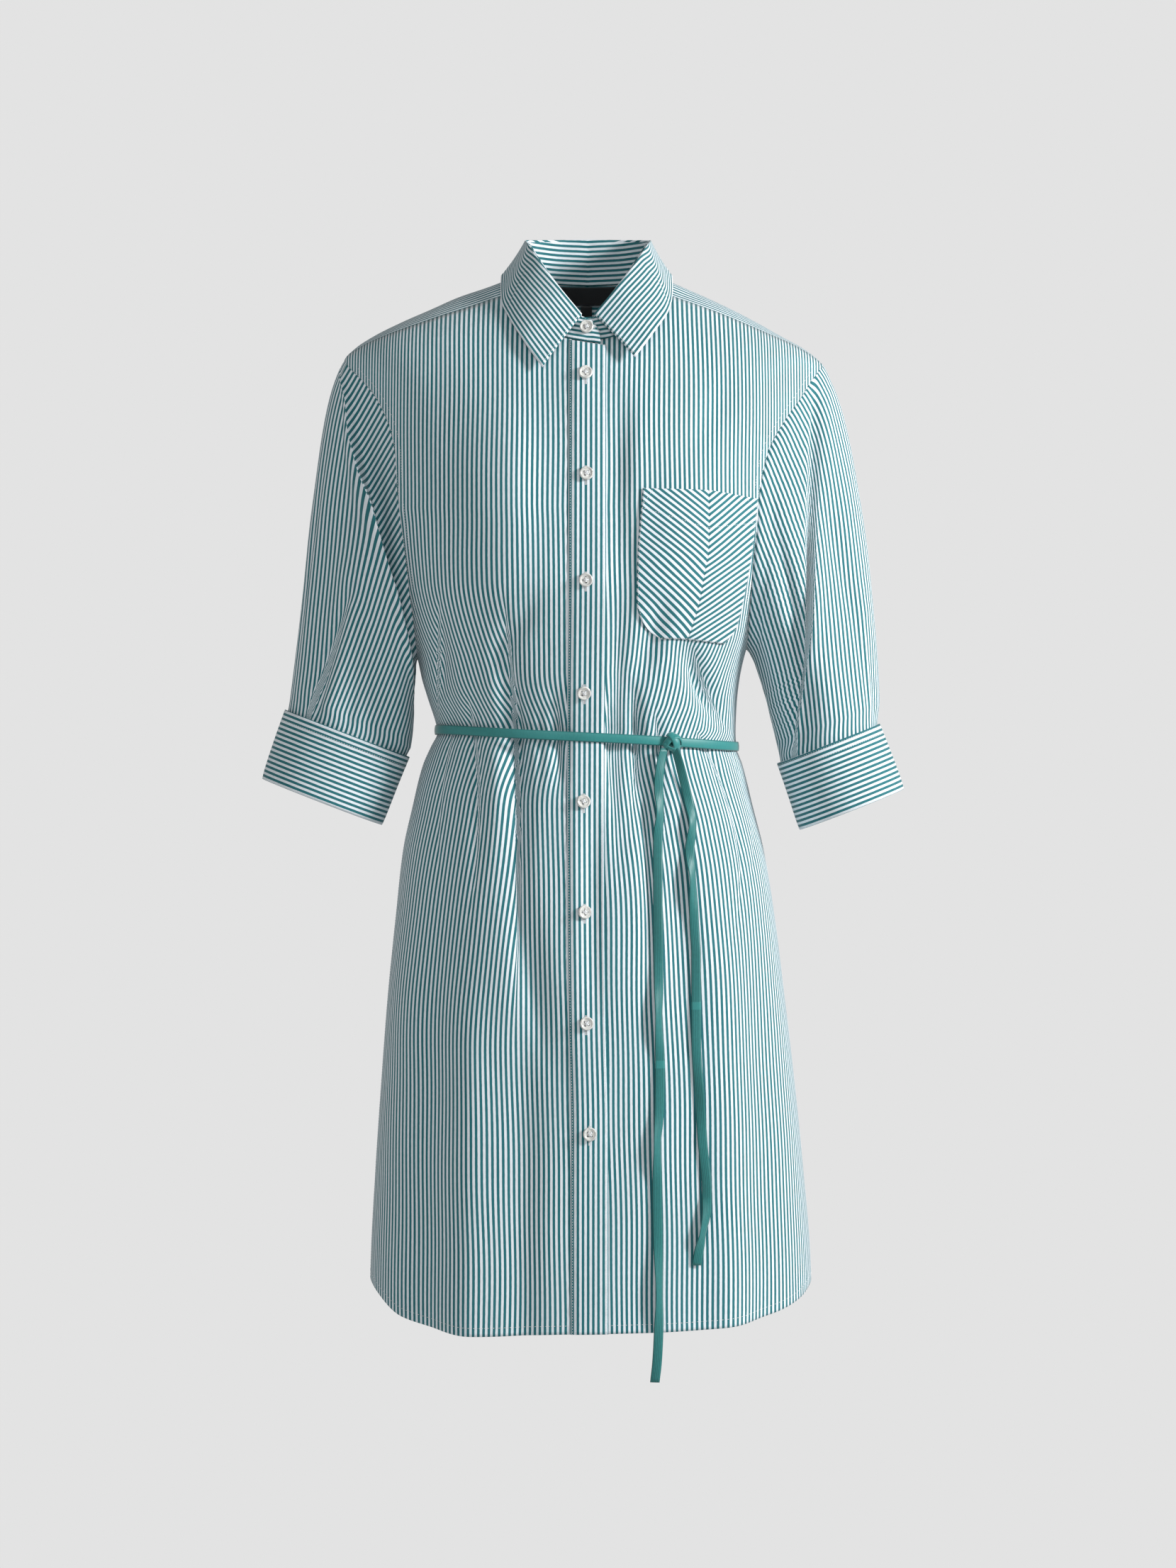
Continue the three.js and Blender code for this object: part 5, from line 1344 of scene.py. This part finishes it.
black_tape = woven_label("black_tape")
for name, tag, out in (("neck_label", LABEL, 1.95), ("size_tab", SIZE_TAB, 2.55)):
    x = np.linspace(tag["x"][0], tag["x"][1], 25)
    z = np.linspace(tag["z"][0], tag["z"][1], 17)[:, None]
    flat_back = body(turn_at(x, z, True), z)[..., 1]
    u = np.linspace(-1, 1, 25)
    points = np.stack([x + 0 * z, flat_back - out - 0.25 * np.cos(2.2 * u) + 0.2 * u ** 8, z + 0 * x], -1)
    flat = np.stack([x + 0 * z, z + 0 * x], -1)
    tape = solid_cloth(name + "_tape", points, flat, TAPE, black_tape)
    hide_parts(name)
    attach(tape, "root")

# Sewing: white cotton thread in short stitches along the edges and seams, just proud of the
# cloth that they go through. Sizes of the stitches are in metres.
STITCH = {"Apart": 0.0023, "Long": 0.0017, "Thick": 0.00036, "Uneven": 0.06, "Seed": 3}


def on_cloth(name, i, j, lift=0.15):
    """Points on a laid piece at row and column places that may lie between its grid lines."""
    grid = laid[name]
    i, j = np.broadcast_arrays(np.asarray(i, float), np.asarray(j, float))
    i = np.clip(i, 0, grid.shape[0] - 1.001)
    j = np.clip(j, 0, grid.shape[1] - 1.001)
    i0, j0 = i.astype(int), j.astype(int)
    u, v = (i - i0)[:, None], (j - j0)[:, None]
    a, b, c, d = grid[i0, j0], grid[i0, j0 + 1], grid[i0 + 1, j0], grid[i0 + 1, j0 + 1]
    n = np.cross(c + d - a - b, b + d - a - c)
    n /= np.maximum(np.linalg.norm(n, axis=-1, keepdims=True), 1e-9)
    return mix(mix(a, b, v), mix(c, d, v), u) + n * lift


def places_in(name, distance, from_end, axis):
    """Row places (axis 0) or column places (axis 1) a distance in from the first or last one."""
    grid = laid[name] if axis == 0 else np.swapaxes(laid[name], 0, 1)
    run = running(grid[::-1] if from_end else grid, 0)
    place = np.array([np.interp(distance, run[:, j], np.arange(len(run))) for j in range(run.shape[1])])
    return len(run) - 1 - place if from_end else place


def row_line(name, distance, from_end=True, part=slice(None)):
    """A sewn line beside a piece's last or first row."""
    i = places_in(name, distance, from_end, 0)
    return on_cloth(name, i[part], np.arange(len(i))[part])


def column_line(name, distance, from_end=False, part=slice(None)):
    """A sewn line beside a piece's first or last column."""
    j = places_in(name, distance, from_end, 1)
    return on_cloth(name, np.arange(len(j))[part], j[part])


def sew(name, lines, values=STITCH):
    """Geometry Nodes set that lays stitches along lines: each a short round thread along its run."""
    vertices, edges = [], []
    for line in lines:
        start = len(vertices)
        vertices += [tuple(p) for p in np.asarray(line) * MM]
        edges += [(k, k + 1) for k in range(start, len(vertices) - 1)]
    mesh = bpy.data.meshes.new(name + "_lines")
    mesh.from_pydata(vertices, edges, [])
    carrier = put(name + "_lines", mesh)
    tree, given, result, ids = start_set(name, "Lines", {
        "Apart": "Float", "Long": "Float", "Thick": "Float", "Uneven": "Float", "Seed": "Int"}, "Stitches")
    curve = add(tree, "GeometryNodeMeshToCurve", {0: given.outputs["Lines"]})
    spread = add(tree, "GeometryNodeResampleCurve", {"Curve": curve.outputs[0],
                                                      "Length": given.outputs["Apart"]}, mode="LENGTH")
    run = add(tree, "GeometryNodeInputTangent")
    wobble = add(tree, "FunctionNodeRandomValue", {"Seed": given.outputs["Seed"], "Min": (-1, -1, -1)},
                 data_type="FLOAT_VECTOR")
    amount = add(tree, "ShaderNodeVectorMath", {0: wobble.outputs[0], "Scale": given.outputs["Uneven"]},
                 operation="SCALE")
    aim = add(tree, "ShaderNodeVectorMath", {0: run.outputs[0], 1: amount.outputs[0]}, operation="ADD")
    turned = add(tree, "FunctionNodeAlignRotationToVector", {"Vector": aim.outputs[0]}, axis="X")
    bead = add(tree, "GeometryNodeMeshIcoSphere", {"Radius": 0.5, "Subdivisions": 1})
    size = add(tree, "ShaderNodeCombineXYZ", {0: given.outputs["Long"], 1: given.outputs["Thick"],
                                               2: given.outputs["Thick"]})
    stitch = add(tree, "GeometryNodeTransform", {"Geometry": bead.outputs[0], "Scale": size.outputs[0]})
    copies = add(tree, "GeometryNodeInstanceOnPoints", {
        "Points": spread.outputs[0], "Instance": stitch.outputs[0], "Rotation": turned.outputs[0]})
    end_set(tree, copies, given, result)
    made = run_set(carrier, tree, ids, values | {"Finish": thread}, name)
    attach(made, "root")


sew("band_stitches", [column_line("band", 1.6), column_line("band", 1.6, True)])
sew("collar_stitches", [
    row_line("collar", 1.7), column_line("collar", 1.9)[2:-2], column_line("collar", 1.9, True)[2:-2],
    row_line("neck_band", 1.5), row_line("neck_band", 1.5, False, slice(0, 14)),
    row_line("neck_band", 1.5, False, slice(-14, None)),
])
sew("seam_stitches", [
    row_line("yoke", 1.4),
    row_line("back", 1.3, False),
    column_line("front_left", 1.2, False, slice(4, None)),
    column_line("front_left", 6.6, False, slice(4, 105)),
    column_line("front_right", 1.2, True, slice(4, None)),
    column_line("front_right", 6.6, True, slice(4, 105)),
    column_line("back", 1.2, False), column_line("back", 6.6, False, slice(0, 75)),
    column_line("back", 1.2, True), column_line("back", 6.6, True, slice(0, 75)),
])
sew("hem_stitches", [row_line(name, 7) for name in ("front_left", "front_right", "back")],
    dict(STITCH, Seed=5))
sew("cuff_stitches", [row_line("cuff_" + arm, d, False) for arm in ("left", "right") for d in (1.6, 8.6)]
    + [row_line("cuff_" + arm, 1.6) for arm in ("left", "right")], dict(STITCH, Seed=7))

# Pocket sewing: two rows down its sides and along its foot, one across its hem, and a small
# triangle at each top corner.
left_side = column_line("pocket_left", 1.2)
right_side = column_line("pocket_right", 1.2, True)
foot_left, foot_right = row_line("pocket_left", 1.2), row_line("pocket_right", 1.2)


def pocket_place(x, z):
    """Point on the pocket's face at a place of the front view."""
    side = "pocket_left" if x < float(read(POCKET, "d", "middle", -z)) else "pocket_right"
    p, n = nearest(side, x, z)
    return p + n * 0.15


def pocket_line(places, parts=24):
    """A sewn line over the pocket through some places."""
    t = np.linspace(0, len(places) - 1, parts)
    places = np.array(places, float)
    x = np.interp(t, range(len(places)), places[:, 0])
    z = np.interp(t, range(len(places)), places[:, 1])
    return [pocket_place(a, b) for a, b in zip(x, z)]


sew("pocket_stitches", [
    left_side, right_side, foot_left[:-1], foot_right[1:],
    pocket_line([(44.5, -192), (98, -208), (139, -201.5)]),
    pocket_line([(52.5, -177.8), (44.8, -189.5)], 8), pocket_line([(131.5, -181.5), (138, -192)], 8),
])

# Buttonholes: two close rows of cross stitches down the band under each button, and one row
# along the neck band at its end.
spots, turns = [], []
for number, (x, z, spin) in enumerate(zip(*BUTTON_AT.values())):
    upright = number > 0
    for step in np.arange(-7.6 if upright else -5.5, 8.2 if upright else 7.2, 0.46):
        for side in (-0.62, 0.62):
            if upright:
                at_x, at_z = x + side, z - step - 1.1
                p, n = nearest("band", at_x, at_z)
            else:
                at_x, at_z = x + step, z + side
                p, n = nearest("neck_band", at_x, at_z)
            spots.append((p + n * 0.12) * MM)
            turns.append(facing(n, 0 if upright else math.pi / 2))
bar = bmesh.new()
bmesh.ops.create_icosphere(bar, subdivisions=1, radius=0.5)
bmesh.ops.scale(bar, vec=(0.00125, 0.0005, 0.0004), verts=bar.verts)
cross_mesh = bpy.data.meshes.new("cross_stitch")
bar.to_mesh(cross_mesh)
bar.free()
cross = put("cross_stitch", cross_mesh)
holes = place_copies("buttonholes", cross, spots, turns, thread)
bpy.data.objects.remove(cross)
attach(holes, "root")

# Floor and light: a pale floor under the dress, even light all round, a soft lamp from the right
# and a weak one in front.
FLOOR = {"size": 2.6, "z": -1.35}
stage_finish, tree, shader = new_finish("pale_floor", {"Roughness": 0.9})
grain = noise(tree, 40.0, 3.0)
shade = blend(tree, grain, (0.74, 0.74, 0.74, 1), (0.78, 0.78, 0.78, 1))
tree.links.new(shade, shader.inputs["Base Color"])
bpy.ops.mesh.primitive_plane_add(size=FLOOR["size"], location=(0, 0, FLOOR["z"]))
floor = bpy.context.object
floor.name = "floor"
floor.data.materials.append(stage_finish)
WALL_LIGHT = 0.7682


def studio_light():
    """Pale wall behind the dress, and the room round it, a little dimmer to the right and overhead."""
    world = bpy.data.worlds.new("studio")
    world.use_nodes = True
    tree = world.node_tree
    way = add(tree, "ShaderNodeTexCoord")
    split = add(tree, "ShaderNodeSeparateXYZ", {0: way.outputs["Generated"]})
    wall = add(tree, "ShaderNodeMapRange", {0: split.outputs[1], 1: 0.86, 2: 0.96, 3: 0.0, 4: 1.0})
    room = add(tree, "ShaderNodeMapRange", {0: split.outputs[0], 1: -0.7, 2: 0.8, 3: 0.50, 4: 0.40})
    overhead = add(tree, "ShaderNodeMapRange", {0: split.outputs[2], 1: -0.2, 2: 0.9, 3: 0.0, 4: -0.24})
    around = sums(tree, "ADD", room.outputs[0], overhead.outputs[0])
    level = add(tree, "ShaderNodeMix", {0: wall.outputs[0], 2: around, 3: WALL_LIGHT}, data_type="FLOAT")
    tree.links.new(level.outputs[0], tree.nodes["Background"].inputs[0])
    tree.nodes["Background"].inputs[1].default_value = 1.0
    bpy.context.scene.world = world


studio_light()
bpy.context.scene.view_settings.view_transform = "Standard"
bpy.context.scene.view_settings.look = "None"


def lamp(name, place, aim, size, power):
    """A square soft lamp that shines from one place at another."""
    light = bpy.data.lights.new(name, "AREA")
    light.shape = "SQUARE"
    light.size = size
    light.energy = power
    made = put(name, light)
    made.location = place
    way = mathutils.Vector(aim) - mathutils.Vector(place)
    made.rotation_euler = way.to_track_quat("-Z", "Y").to_euler()
    made.visible_camera = False


lamp("key_light", (2.3, -1.1, 0.6), (0.05, 0, -0.2), 0.5, 86)
lamp("front_light", (-0.3, -2.4, 0.6), (0, 0, -0.15), 0.7, 9)
